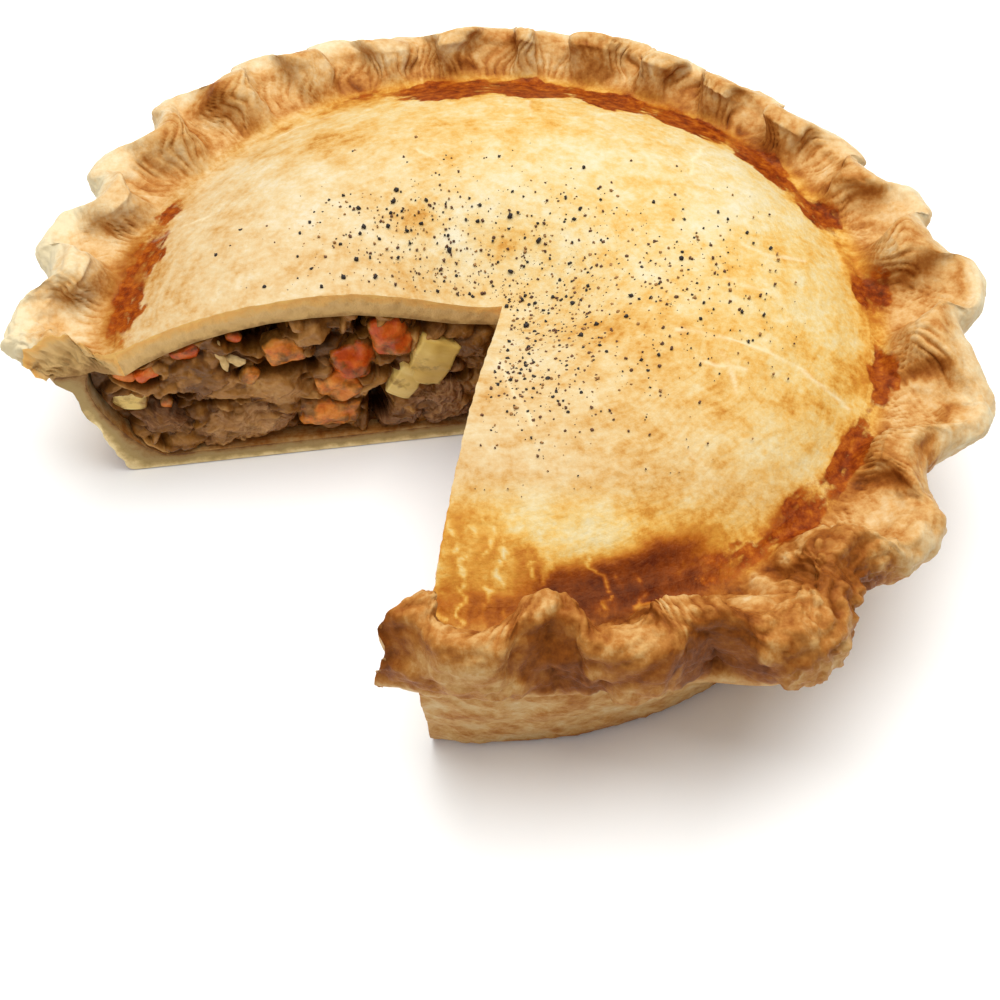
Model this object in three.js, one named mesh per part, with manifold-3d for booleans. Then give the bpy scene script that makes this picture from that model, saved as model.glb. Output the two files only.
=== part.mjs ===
// A deep steak pie with one slice taken out.
// The pastry lid ends in a thick fluted rim, the pastry base is a dish with a lip under that rim, and the
// chunky filling between them shows on the two cut faces. Coarse ground pepper lies on the lid.
// Millimetres, +Z up, with the base standing on z = 0. The pie is built round the Z axis and moved at the end.
// Angles run anticlockwise from +X in degrees. The missing slice is the one from CUT_FROM to CUT_TO.
import * as THREE from "three";
import { mergeVertices } from "three/addons/utils/BufferGeometryUtils.js";
import Module from "manifold-3d";

const wasm = await Module();
wasm.setup();

// The missing slice, as angles on the rim, and the point where its two cuts meet, a little off the axis
const CUT_FROM = 189.2;
const CUT_TO = 261.8;
const APEX = [3, -1.9];
const TURN = 360;

// Gap that keeps neighbouring pieces apart
const GAP = 0.4;

// Moves the finished pie so that the middle of its box stands over the origin
const TO_MIDDLE = [-2.8, -3.9, 0];

// Lid: a plateau that falls to a groove at the rim and sags in the middle, where the slices meet
const GROOVE_RADIUS = 95;
const GROOVE_HEIGHT = 43.3;
const LID_RISE = 14.2;
const LID_SHOULDER_POWER = 4.5;
const SAG_DEPTH = 10.2;
const SAG_RADIUS = 26;
const LID_THICKNESS = 6.6;
const LID_THICKER_AT_RIM = 1.6;
const LID_RINGS = [0, 12, 24, 36, 50, 64, 76, 84, 90];
const LID_UNDER_RINGS = [0, 15, 30, 50, 68, 82, 94];

// Rim: a thick fluted roll. Its crest sways out and in, widest where the flutes are wide.
const RIM_REACH = 121.5;
const RIM_UNEVEN = 1.2;
const CREST_INSET = 9;
const CREST_HEIGHT = 51.4;
const CREST_NOD = 2.1;
const CREST_UNEVEN = 0.9;
const CREST_STILL_ANGLE = 92;
const CREST_SWAY_BEHIND = 2.6;
const CREST_SWAY_FRONT = 6;
const WAIST_HEIGHT = 44.6;
const WAIST_SWAY = 3.1;
const FOOT_OUT = 5;
const LOWER_INSET = 2.5;
const LOWER_LEAST = 109.6;
const SEAM_HEIGHT = 38;
const RIM_ROOT_RADIUS = 101;
const RIM_STEPS = 14;
const RIM_TWIST = 0.1;
const FOOT_UP = 0.8;
const INNER_FACE_OUT = 0.55;
const INNER_FACE_UP = 0.66;
const CREST_BACK = { out: -2.5, up: -0.8 };
const CREST_TOP = { out: 1.5, up: 0 };
const SHOULDER = { share: 0.6, out: 1.6, up: -2.8 };
const LOWER_UP = 2.4;
const UNDER_INSET = 2.2;

// The rim is pulled in and stands up at the front, and elsewhere hangs out or draws in a little
const FRONT = { angle: 274, spread: 20, groove: -2.5 };
const SWELLS = [
  { angle: FRONT.angle, spread: FRONT.spread, reach: -9, inset: 0, lift: 4.4 },
  { angle: 305, spread: 16, reach: 6, inset: 4.5, lift: 3.4 },
  { angle: 354, spread: 24, reach: 4, inset: 1.5, lift: 0.5 },
  { angle: 60, spread: 27, reach: -4, inset: 0, lift: 0 },
  { angle: 98, spread: 13, reach: -2, inset: 0, lift: 0 },
  { angle: 126, spread: 20, reach: 2, inset: 0, lift: 0 },
  { angle: 158, spread: 12, reach: -2, inset: 0, lift: 0 },
  { angle: 182, spread: 13, reach: -2.5, inset: 0, lift: 0 },
];
const REACH_WOBBLE = { rate: 0.5, from: 7 };
const CREST_WOBBLE_FROM = 17;

// The rim's end at CUT_TO was torn, and stands out past the cut
const TORN_END = { angle: 3.6, fade: 9, from: 95, over: 9 };

// Flutes: their number for a full turn and the shifts that bunch them together or draw them apart, counted
// from the angle CUT_TO round to CUT_FROM plus a full turn
const FLUTES = 24.66;
const FLUTE_START = -18.91;
const FLUTE_SHIFTS = [
  { turns: 0.777, waves: 1, angle: 106.4 },
  { turns: -0.315, waves: 2, angle: -27.6 },
];
const FLUTE_UNEVEN = 0.3;

// Base: a dish with a flared wall and a lip under the rim
const BASE_FLOOR = 4.6;
const WALL_TOP_RADIUS = 102.6;
const LIP_THICKNESS = 2.6;
const LIP_INSET = 1.5;
const LIP_LEAST_OUT = 0.3;
const LIP_ROUNDING = 0.6;
const BASE_OUTSIDE = [[98, 0], [99.8, 1.1], [101, 5.6], [103.5, 14.8], [106.4, 24.5], [107.6, 32]];
const BASE_INSIDE = [[103.8, 33], [102.5, 25], [98.9, 16.5], [94.6, 9.6], [89, BASE_FLOOR]];

// Filling: its core stays a few degrees behind the cuts, and the pieces that show stand on it
const CORE_BEHIND_CUT = 2.5;
const PIECE_ROOM_PAST_CUT = 8;

// Steps round the pie
const RIM_ROUND = 112;
const BASE_ROUND = 60;
const FILLING_ROUND = 40;

// Pepper grains on the lid, spread from the middle of the patch they fell on
const PEPPER_COUNT = 56;
const PEPPER_SEED = 11;
const PEPPER_SPREAD = [58, 38];
const PEPPER_CENTRE = [-6, 8];
const PEPPER_SIZE = { least: 1.3, most: 2.3 };
const PEPPER_FLATNESS = [1, 0.85, 0.75];
const PEPPER_REACH = 78;
const PEPPER_LIFT = 0.15;
const PEPPER_CLEAR_OF_CUT = 3;

// A smooth random wave with one value per whole number
function scatter(n) {
  const s = Math.sin(n * 12.9898 + 4.1414) * 43758.5453;
  return 2 * (s - Math.floor(s)) - 1;
}
function wobble(x) {
  const n = Math.floor(x);
  const f = x - n;
  const ease = f * f * (3 - 2 * f);
  return scatter(n) * (1 - ease) + scatter(n + 1) * ease;
}

// A seeded random generator, giving numbers from 0 to 1
function seeded(seed) {
  let state = seed >>> 0;
  return () => {
    state = (state + 0x6d2b79f5) >>> 0;
    let t = state;
    t = Math.imul(t ^ (t >>> 15), t | 1);
    t ^= t + Math.imul(t ^ (t >>> 7), t | 61);
    return ((t ^ (t >>> 14)) >>> 0) / 4294967296;
  };
}

const radians = (angle) => (angle * Math.PI) / 180;

// The lid's heights at a radius
function lidTop(r) {
  const shoulder = Math.min(r / GROOVE_RADIUS, 1) ** LID_SHOULDER_POWER;
  const sag = SAG_DEPTH * Math.exp(-((r / SAG_RADIUS) ** 2));
  return GROOVE_HEIGHT + LID_RISE * (1 - shoulder) - sag;
}
function lidUnder(r) {
  return lidTop(r) - LID_THICKNESS - LID_THICKER_AT_RIM * (r / GROOVE_RADIUS) ** 4;
}

// The lid's height as it is built, flat from each ring to the next
function lidFacet(r) {
  const next = LID_RINGS.findIndex((ring) => ring > r);
  const [inner, outer] = [LID_RINGS[next - 1], LID_RINGS[next]];
  const share = (r - inner) / (outer - inner);
  return lidTop(inner) * (1 - share) + lidTop(outer) * share;
}

// The flutes' wave at an angle: 1 where a flute leans out, -1 where it is pressed in
function fluteTurns(angle) {
  let turns = FLUTE_START + (FLUTES * angle) / TURN;
  for (const shift of FLUTE_SHIFTS) {
    turns += shift.turns * Math.sin(radians(shift.waves * angle - shift.angle));
  }
  return turns;
}
function fluteWave(turns) {
  return Math.cos(2 * Math.PI * turns) * (1 + FLUTE_UNEVEN * wobble(turns));
}

// How near an angle is to a place on the rim: 1 there and 0 well away from it
function nearness(angle, place) {
  const away = ((angle - place.angle + 1.5 * TURN) % TURN) - TURN / 2;
  return Math.exp(-((away / place.spread) ** 4));
}

// The rim's section at an angle, from the groove over the crest to its lower outer edge
function rimPoints(angle) {
  const turns = fluteTurns(angle);
  const widening = (1 - Math.cos(radians(angle - CREST_STILL_ANGLE))) / 2;
  const sway = CREST_SWAY_BEHIND + (CREST_SWAY_FRONT - CREST_SWAY_BEHIND) * widening;
  const footWave = fluteWave(turns + 2 * RIM_TWIST);
  const crestWave = fluteWave(turns + RIM_TWIST);
  const waistWave = fluteWave(turns);
  let reach = RIM_REACH + RIM_UNEVEN * wobble(turns * REACH_WOBBLE.rate + REACH_WOBBLE.from);
  let inset = CREST_INSET;
  let top = CREST_HEIGHT - CREST_NOD * crestWave + CREST_UNEVEN * wobble(turns + CREST_WOBBLE_FROM);
  for (const swell of SWELLS) {
    const near = nearness(angle, swell);
    reach += swell.reach * near;
    inset += swell.inset * near;
    top += swell.lift * near;
  }
  const groove = GROOVE_RADIUS + FRONT.groove * nearness(angle, FRONT);
  const grooveHeight = lidTop(groove);
  const foot = groove + FOOT_OUT + footWave;
  const crest = reach - inset + sway * crestWave;
  const waist = reach - WAIST_SWAY * (1 - waistWave);
  const lower = Math.max(waist - LOWER_INSET, LOWER_LEAST);
  return [
    [groove, grooveHeight],
    [foot, grooveHeight + FOOT_UP],
    [foot + INNER_FACE_OUT * (crest - foot), GROOVE_HEIGHT + INNER_FACE_UP * (top - GROOVE_HEIGHT)],
    [crest + CREST_BACK.out, top + CREST_BACK.up],
    [crest + CREST_TOP.out, top + CREST_TOP.up],
    [crest + SHOULDER.share * (waist - crest) + SHOULDER.out, top + SHOULDER.up],
    [Math.max(waist, lower + LOWER_INSET / 3), WAIST_HEIGHT - waistWave],
    [lower + LOWER_INSET / 4, SEAM_HEIGHT + LOWER_UP],
    [lower - UNDER_INSET, SEAM_HEIGHT + GAP],
  ];
}

// How far out the base's lip reaches under the rim
function lipRadius(angle) {
  const points = rimPoints(angle);
  return points[points.length - 1][0] - LIP_INSET;
}

// Closed sections as [radius, height] points, along the top outwards and back along the underside
function lidSection(angle) {
  const top = LID_RINGS.map((r) => [r, lidTop(r)]);
  const curve = new THREE.SplineCurve(rimPoints(angle).map(([r, z]) => new THREE.Vector2(r, z)));
  const rim = curve.getPoints(RIM_STEPS).map((p) => [p.x, p.y]);
  const root = [[RIM_ROOT_RADIUS, SEAM_HEIGHT + GAP]];
  const under = [...LID_UNDER_RINGS].reverse().map((r) => [r, lidUnder(r)]);
  return [...top, ...rim, ...root, ...under];
}
function baseSection(angle) {
  const wall = BASE_OUTSIDE[BASE_OUTSIDE.length - 1][0];
  const lip = Math.max(lipRadius(angle), wall + LIP_LEAST_OUT);
  const flare = [
    [lip - LIP_ROUNDING, SEAM_HEIGHT],
    [lip + LIP_ROUNDING / 2, SEAM_HEIGHT - LIP_THICKNESS / 2],
    [lip, SEAM_HEIGHT - LIP_THICKNESS],
  ];
  const inside = [[0, BASE_FLOOR], ...[...BASE_INSIDE].reverse(), [WALL_TOP_RADIUS, SEAM_HEIGHT]];
  return [...inside, ...flare, ...[...BASE_OUTSIDE].reverse(), [0, 0]];
}
function fillingSection() {
  const top = LID_UNDER_RINGS.map((r) => [r, lidUnder(r) - GAP]);
  const corner = [RIM_ROOT_RADIUS - 2 * GAP, SEAM_HEIGHT - 2 * GAP];
  const wall = BASE_INSIDE.map(([r, z]) => [r - 1.5 * GAP, z + GAP * (1 - z / SEAM_HEIGHT)]);
  return [...top, corner, ...wall, [0, BASE_FLOOR + GAP]];
}

// Where a radius and an angle lie: rings round the axis at the rim, and round the apex in the middle
function place(r, angle) {
  const share = 1 - r / RIM_REACH;
  const x = APEX[0] * share + r * Math.cos(radians(angle));
  const y = APEX[1] * share + r * Math.sin(radians(angle));
  return [x, y];
}

// How far the lid's torn end stands out past the cut, as a turn back from an angle
function tornTurn(r, angle) {
  const share = THREE.MathUtils.smoothstep(r, TORN_END.from, TORN_END.from + TORN_END.over);
  return TORN_END.angle * share * Math.exp((CUT_TO - angle) / TORN_END.fade);
}
const noTurn = () => 0;

// The direction of the cut that ends at an angle on the rim
function cutDirection(angle) {
  const [x, y] = place(RIM_REACH, angle);
  return Math.atan2(y - APEX[1], x - APEX[0]);
}

// Triangles that close a section's end, stitched between its upper and lower sides from the axis outwards
function stitchEnd(loop) {
  const widest = Math.max(...loop.map(([r]) => r));
  const tip = loop.findIndex(([r]) => r === widest);
  const apart = (a, b) => Math.hypot(loop[a][0] - loop[b][0], loop[a][1] - loop[b][1]);
  const triangles = [];
  let upper = 0;
  let lower = loop.length - 1;
  while (lower - upper > 1) {
    const upperNext = lower === tip || (upper < tip && apart(upper + 1, lower) <= apart(upper, lower - 1));
    triangles.push(upperNext ? [upper, upper + 1, lower] : [upper, lower - 1, lower]);
    if (upperNext) upper += 1;
    else lower -= 1;
  }
  return triangles;
}

// Lofts a section round the axis between two angles, turned back where a piece is torn, and closes its ends
function loft(section, from, to, steps, turnBack) {
  const rows = [];
  for (let i = 0; i <= steps; i++) rows.push([from + ((to - from) * i) / steps]);
  for (const row of rows) row.push(section(row[0]));
  const count = rows[0][1].length;
  const position = [];
  for (const [angle, loop] of rows) {
    for (const [r, z] of loop) position.push(...place(r, angle - turnBack(r, angle)), z);
  }
  const onAxis = (j) => rows[0][1][j][0] < 1e-9;
  const index = [];
  for (let i = 0; i < steps; i++) {
    for (let j = 0; j < count; j++) {
      const k = (j + 1) % count;
      const [a, b, c, d] = [i * count + j, i * count + k, (i + 1) * count + k, (i + 1) * count + j];
      if (!onAxis(j)) index.push(a, b, d);
      if (!onAxis(k)) index.push(b, c, d);
    }
  }
  for (const [a, b, c] of stitchEnd(rows[0][1])) index.push(a, c, b);
  const last = steps * count;
  for (const [a, b, c] of stitchEnd(rows[steps][1])) index.push(last + a, last + b, last + c);
  const geometry = new THREE.BufferGeometry();
  geometry.setAttribute("position", new THREE.BufferAttribute(new Float32Array(position), 3));
  geometry.setIndex(index);
  return geometry;
}

// Between three.js geometry and closed solids
function toSolid(geometry) {
  const bare = geometry.clone();
  bare.deleteAttribute("normal");
  bare.deleteAttribute("uv");
  const merged = mergeVertices(bare, 1e-4);
  return new wasm.Manifold(
    new wasm.Mesh({
      numProp: 3,
      vertProperties: new Float32Array(merged.attributes.position.array),
      triVerts: new Uint32Array(merged.index.array),
    }),
  );
}
function toGeometry(solid) {
  const mesh = solid.getMesh();
  const geometry = new THREE.BufferGeometry();
  geometry.setAttribute("position", new THREE.BufferAttribute(mesh.vertProperties, 3));
  geometry.setIndex(new THREE.BufferAttribute(mesh.triVerts, 1));
  geometry.computeVertexNormals();
  return geometry;
}

// Pepper: angular grains, the largest first, sunk a little into the lid. Their radius and angle are chosen
// so that they stand clear of both cuts.
function pepperGrains() {
  const random = seeded(PEPPER_SEED);
  const bell = () => random() + random() + random() - 1.5;
  const grains = [];
  while (grains.length < PEPPER_COUNT) {
    const across = PEPPER_CENTRE[0] + PEPPER_SPREAD[0] * bell();
    const away = PEPPER_CENTRE[1] + PEPPER_SPREAD[1] * bell();
    const r = Math.hypot(across, away);
    const angle = (THREE.MathUtils.radToDeg(Math.atan2(away, across)) + TURN) % TURN;
    const spare = THREE.MathUtils.radToDeg(PEPPER_CLEAR_OF_CUT / Math.max(r, PEPPER_CLEAR_OF_CUT));
    const [x, y] = place(r, angle);
    const done = grains.length / PEPPER_COUNT;
    const size = PEPPER_SIZE.most + (PEPPER_SIZE.least - PEPPER_SIZE.most) * Math.sqrt(done);
    const turn = [random(), random(), random()].map((share) => 2 * Math.PI * share);
    const kept = angle < CUT_FROM - spare || angle > CUT_TO + spare;
    const apart = grains.every((g) => Math.hypot(g.x - x, g.y - y) > size + g.size);
    if (r < PEPPER_REACH && kept && apart) grains.push({ x, y, r, size, turn });
  }
  return grains.map(({ x, y, r, size, turn }) => {
    const grain = new THREE.OctahedronGeometry(size / 2);
    grain.scale(...PEPPER_FLATNESS);
    grain.rotateX(turn[0]).rotateY(turn[1]).rotateZ(turn[2]);
    grain.translate(x, y, lidFacet(r) + size * PEPPER_LIFT);
    return grain;
  });
}

// Pieces of the filling, each about 1 across and made uneven by its seed
const SEED_STRIDE = 7.3;
function uneven(geometry, amount, seed) {
  const merged = mergeVertices(geometry.deleteAttribute("normal").deleteAttribute("uv"), 1e-4);
  const p = merged.attributes.position;
  for (let i = 0; i < p.count; i++) {
    const grow = 1 + amount * scatter(seed * SEED_STRIDE + i);
    p.setXYZ(i, p.getX(i) * grow, p.getY(i) * grow, p.getZ(i) * grow);
  }
  return merged;
}
const PIECE_SHAPES = {
  beef: (seed) => uneven(new THREE.IcosahedronGeometry(0.58, 1), 0.16, seed),
  carrot: (seed) => uneven(new THREE.DodecahedronGeometry(0.56), 0.08, seed),
  tomato: (seed) => uneven(new THREE.IcosahedronGeometry(0.56, 1), 0.1, seed),
  celery: (seed) => uneven(new THREE.BoxGeometry(0.92, 0.92, 0.92), 0.05, seed),
};

// Pieces that show on the cut at CUT_FROM
const SHOWN_PIECES = [
  { kind: "celery", along: 18.5, up: 30, wide: 12, tall: 17, tilt: -24 },
  { kind: "celery", along: 25.5, up: 23.5, wide: 8, tall: 12, tilt: -30 },
  { kind: "tomato", along: 28.5, up: 38.5, wide: 12, tall: 14, tilt: 10 },
  { kind: "tomato", along: 38.5, up: 32, wide: 13, tall: 13, tilt: 35 },
  { kind: "carrot", along: 43, up: 23.5, wide: 12, tall: 11, tilt: 20 },
  { kind: "carrot", along: 46, up: 13, wide: 18, tall: 10, tilt: -8 },
  { kind: "carrot", along: 56, up: 37.5, wide: 11, tall: 8, tilt: 12 },
  { kind: "beef", along: 8, up: 34, wide: 13, tall: 11, tilt: 0 },
  { kind: "beef", along: 15.5, up: 14, wide: 16, tall: 18, tilt: 25 },
  { kind: "beef", along: 27, up: 13, wide: 13, tall: 14, tilt: -10 },
  { kind: "beef", along: 49.5, up: 43, wide: 13, tall: 9, tilt: 20 },
  { kind: "beef", along: 61, up: 25, wide: 24, tall: 15, tilt: -14 },
  { kind: "beef", along: 69, up: 12.5, wide: 24, tall: 13, tilt: 8 },
  { kind: "beef", along: 80, up: 31, wide: 18, tall: 17, tilt: 0 },
  { kind: "beef", along: 89, up: 15.5, wide: 15, tall: 9, tilt: -30 },
  { kind: "tomato", along: 80.5, up: 42, wide: 8, tall: 7, tilt: 0 },
  { kind: "celery", along: 98, up: 26, wide: 9, tall: 10, tilt: 40 },
];

// The other cut gets the same kinds of pieces, spread over it in rows by a seeded rule
const OTHER_SEED = 5;
const OTHER_ROWS = [13, 25, 36];
const OTHER_SPAN = { from: 9, to: 94, step: 15, stagger: 4 };
const OTHER_SIZE = { least: 10, most: 16 };
const OTHER_TALLNESS = { least: 0.75, most: 1.05 };
const OTHER_TILT = 40;
const OTHER_KINDS = ["beef", "beef", "carrot", "beef", "tomato", "celery"];
function otherPieces() {
  const random = seeded(OTHER_SEED);
  const between = (span) => span.least + (span.most - span.least) * random();
  const pieces = [];
  OTHER_ROWS.forEach((height, row) => {
    const { from, to, step, stagger } = OTHER_SPAN;
    for (let start = from + stagger * row; start < to; start += step) {
      const kind = OTHER_KINDS[Math.floor(random() * OTHER_KINDS.length)];
      const wide = between(OTHER_SIZE);
      const tall = wide * between(OTHER_TALLNESS);
      const along = start + stagger * random();
      const up = height + stagger * random();
      pieces.push({ kind, along, up, wide, tall, tilt: OTHER_TILT * (2 * random() - 1) });
    }
  });
  return pieces;
}

// A piece of the filling set on the cut at an angle, with most of it behind the cut. The missing slice is
// anticlockwise of the cut at CUT_FROM (side 1) and clockwise of the cut at CUT_TO (side -1).
const PIECE_BEHIND_CUT = 0.42;
const PIECE_PROUD = 0.4;
function setOnCut(piece, cutAngle, side, seed) {
  const geometry = PIECE_SHAPES[piece.kind](seed);
  const deep = Math.min(piece.wide, piece.tall);
  geometry.scale(piece.wide, deep, piece.tall);
  geometry.rotateY(radians(piece.tilt));
  geometry.translate(piece.along, -side * (PIECE_BEHIND_CUT * deep - PIECE_PROUD), piece.up);
  geometry.rotateZ(cutDirection(cutAngle));
  geometry.translate(APEX[0], APEX[1], 0);
  return geometry;
}

function lidCrust() {
  let solid = toSolid(loft(lidSection, CUT_TO, CUT_FROM + TURN, RIM_ROUND, tornTurn));
  for (const grain of pepperGrains()) solid = solid.add(toSolid(grain));
  return toGeometry(solid);
}

function baseCrust() {
  return loft(baseSection, CUT_TO, CUT_FROM + TURN, BASE_ROUND, noTurn);
}

function filling() {
  const fill = (past) => {
    const [from, to] = [CUT_TO - past, CUT_FROM + TURN + past];
    return toSolid(loft(fillingSection, from, to, FILLING_ROUND, noTurn));
  };
  const room = fill(PIECE_ROOM_PAST_CUT);
  let solid = fill(-CORE_BEHIND_CUT);
  SHOWN_PIECES.forEach((piece, i) => {
    solid = solid.add(toSolid(setOnCut(piece, CUT_FROM, 1, i + 1)).intersect(room));
  });
  otherPieces().forEach((piece, i) => {
    solid = solid.add(toSolid(setOnCut(piece, CUT_TO, -1, i + 1)).intersect(room));
  });
  return toGeometry(solid);
}

function node(name, geometry, color, roughness) {
  const material = new THREE.MeshStandardMaterial({ color, roughness, metalness: 0 });
  const mesh = new THREE.Mesh(geometry.translate(...TO_MIDDLE), material);
  mesh.name = name;
  return mesh;
}

const pie = new THREE.Group();
pie.add(node("lid_crust", lidCrust(), 0xe3b266, 0.5));
pie.add(node("base_crust", baseCrust(), 0xdcbd85, 0.7));
pie.add(node("filling", filling(), 0x7a4a28, 0.4));
export default pie;
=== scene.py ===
"""Looks of a deep steak pie with one slice cut out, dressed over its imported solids.

Sizes are millimetres and angles are degrees anticlockwise from +X, both round the pie's own axis.
A mesh is moved to the row frame and turned into metres when it is made.
"""

import itertools
import logging
import math
from dataclasses import dataclass, field
from enum import Enum

import bpy
import numpy as np
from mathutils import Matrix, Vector


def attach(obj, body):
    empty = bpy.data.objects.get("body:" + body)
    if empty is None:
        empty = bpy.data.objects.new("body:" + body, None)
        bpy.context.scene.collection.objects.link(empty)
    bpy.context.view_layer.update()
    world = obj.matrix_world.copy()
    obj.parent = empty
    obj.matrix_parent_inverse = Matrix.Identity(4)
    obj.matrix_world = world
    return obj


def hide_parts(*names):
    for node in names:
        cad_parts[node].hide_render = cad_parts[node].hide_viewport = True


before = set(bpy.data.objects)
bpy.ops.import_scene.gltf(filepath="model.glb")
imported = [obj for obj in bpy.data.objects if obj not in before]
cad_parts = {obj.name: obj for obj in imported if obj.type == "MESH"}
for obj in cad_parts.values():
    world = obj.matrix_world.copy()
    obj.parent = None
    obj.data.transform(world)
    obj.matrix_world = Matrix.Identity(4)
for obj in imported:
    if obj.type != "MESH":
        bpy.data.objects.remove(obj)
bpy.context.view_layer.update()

MM = 0.001
TURN = 360.0
log = logging.getLogger("steak_pie")
Array = np.ndarray
Pair = tuple[float, float]
Triple = tuple[float, float, float]
Stops = tuple[tuple[float, str], ...]
Socket = bpy.types.NodeSocket
Material = bpy.types.Material


def smooth_step(value: Array, start: float, end: float) -> Array:
    """Eases from 0 at start to 1 at end.

    Args:
        value: Where to read the step.
        start: Value at which it leaves 0.
        end: Value at which it reaches 1.

    Returns:
        The eased step, of the same shape as value.
    """
    share = np.clip((value - start) / (end - start), 0.0, 1.0)
    return share * share * (3.0 - 2.0 * share)


def hump(value: Array, middle: float, width: float) -> Array:
    """A bell curve that is 1 at middle."""
    return np.exp(-(((value - middle) / width) ** 2))


def turn_between(angle: Array, middle: float) -> Array:
    """The signed turn from middle to angle, from -180 to 180."""
    return (angle - middle + 1.5 * TURN) % TURN - TURN / 2


def near_angle(angle: Array, middle: float, spread: float) -> Array:
    """A bell curve round an angle, which is 1 at its middle."""
    return hump(turn_between(angle, middle), 0.0, spread)


def window(value: Array, rise: Pair, fall: Pair) -> Array:
    """1 between a rise and a fall, each given by its start and its end, and 0 outside them."""
    return smooth_step(value, *rise) * (1.0 - smooth_step(value, *fall))


def tilted(right: Array, above: Array, tilt: float) -> tuple[Array, Array]:
    """Turns places on a cut face by a tilt in degrees."""
    cosine, sine = math.cos(math.radians(tilt)), math.sin(math.radians(tilt))
    return right * cosine - above * sine, right * sine + above * cosine


def scatter(number: Array) -> Array:
    """A repeatable random value from -1 to 1 for each whole number."""
    wild = np.sin(number * 12.9898 + 4.1414) * 43758.5453
    return 2.0 * (wild - np.floor(wild)) - 1.0


def wobble(position: Array) -> Array:
    """A smooth random wave with one value per whole number.

    Args:
        position: Where to read the wave.

    Returns:
        The wave, from -1 to 1.
    """
    whole = np.floor(position)
    part = position - whole
    ease = part * part * (3.0 - 2.0 * part)
    return scatter(whole) * (1.0 - ease) + scatter(whole + 1.0) * ease


def paint(code: str) -> tuple[float, float, float, float]:
    """Turns a colour code such as #E6D8AE into the linear colour that shaders use.

    Args:
        code: Six hexadecimal digits after a #.

    Returns:
        Linear red, green, blue and an alpha of 1.
    """
    shown = [int(code[start : start + 2], 16) / 255.0 for start in (1, 3, 5)]
    linear = [c / 12.92 if c <= 0.04045 else ((c + 0.055) / 1.055) ** 2.4 for c in shown]
    return (linear[0], linear[1], linear[2], 1.0)


class Noise:
    """Smooth seeded noise in space, about 1 unit across and from about -1 to 1."""

    CELLS = 256
    SCALE = 1.5
    SLICE = 0.37
    ZOOM = 2.03
    SHIFT = 11.3

    def __init__(self, seed: int) -> None:
        """Draws the lattice of slopes.

        Args:
            seed: Seed of the lattice.
        """
        random = np.random.default_rng(seed)
        self.order = random.permutation(self.CELLS)
        slopes = random.normal(size=(self.CELLS, 3))
        self.slopes = slopes / np.linalg.norm(slopes, axis=1, keepdims=True)

    def __call__(self, *axes: Array | float) -> Array:
        """Reads the noise.

        Args:
            *axes: Two or three coordinates, in units, of one shape. A number as the third picks a slice.

        Returns:
            The noise at each place.
        """
        spread = list(np.broadcast_arrays(*axes))
        if len(spread) == 2:
            spread.append(np.full_like(spread[0], self.SLICE))
        place = np.stack(spread, axis=-1).astype(float)
        cell = np.floor(place).astype(int)
        part = place - cell
        ease = part**3 * (part * (6.0 * part - 15.0) + 10.0)
        total = np.zeros(place.shape[:-1])
        for corner in itertools.product((0, 1), repeat=3):
            at = [(cell[..., axis] + corner[axis]) % self.CELLS for axis in range(3)]
            pick = self.order[(self.order[(self.order[at[0]] + at[1]) % self.CELLS] + at[2]) % self.CELLS]
            away = part - np.array(corner)
            weight = np.prod(np.where(np.array(corner) == 1, ease, 1.0 - ease), axis=-1)
            total += weight * np.sum(self.slopes[pick] * away, axis=-1)
        return self.SCALE * total

    def layers(self, *axes: Array | float, count: int = 4, gain: float = 0.5) -> Array:
        """Adds finer and weaker copies of the noise to itself.

        Args:
            *axes: Two or three coordinates, as for one layer, in units of the coarsest.
            count: Number of layers.
            gain: Strength of each layer as a share of the one before.

        Returns:
            The layered noise, from about -1 to 1.
        """
        total = np.zeros(np.broadcast(*axes).shape)
        for layer in range(count):
            zoom = self.ZOOM**layer
            total += gain**layer * self(*[axis * zoom + self.SHIFT * layer for axis in axes])
        return total


class SeededRandom:
    """The part's own random numbers, so that its pepper and pieces come out in the same places."""

    MASK = 0xFFFFFFFF
    STEP = 0x6D2B79F5

    def __init__(self, seed: int) -> None:
        """Starts the sequence."""
        self.state = seed & self.MASK

    def __call__(self) -> float:
        """The next number from 0 to 1.

        Returns:
            The number.
        """
        self.state = (self.state + self.STEP) & self.MASK
        t = self.state
        t = ((t ^ (t >> 15)) * (t | 1)) & self.MASK
        t ^= (t + (((t ^ (t >> 7)) * (t | 61)) & self.MASK)) & self.MASK
        return ((t ^ (t >> 14)) & self.MASK) / (self.MASK + 1)


class Cut(Enum):
    """The two cut faces: the one the camera sees and the other one."""

    SHOWN = "shown"
    OTHER = "other"


@dataclass(frozen=True)
class Swell:
    """A stretch of rim that hangs out, draws in or stands up."""

    angle: float
    spread: float
    reach: float
    inset: float = 0.0
    lift: float = 0.0
    groove: float = 0.0

    def near(self, angle: Array) -> Array:
        """1 in the middle of the stretch and 0 well away from it."""
        return np.exp(-((turn_between(angle, self.angle) / self.spread) ** 4))


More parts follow.
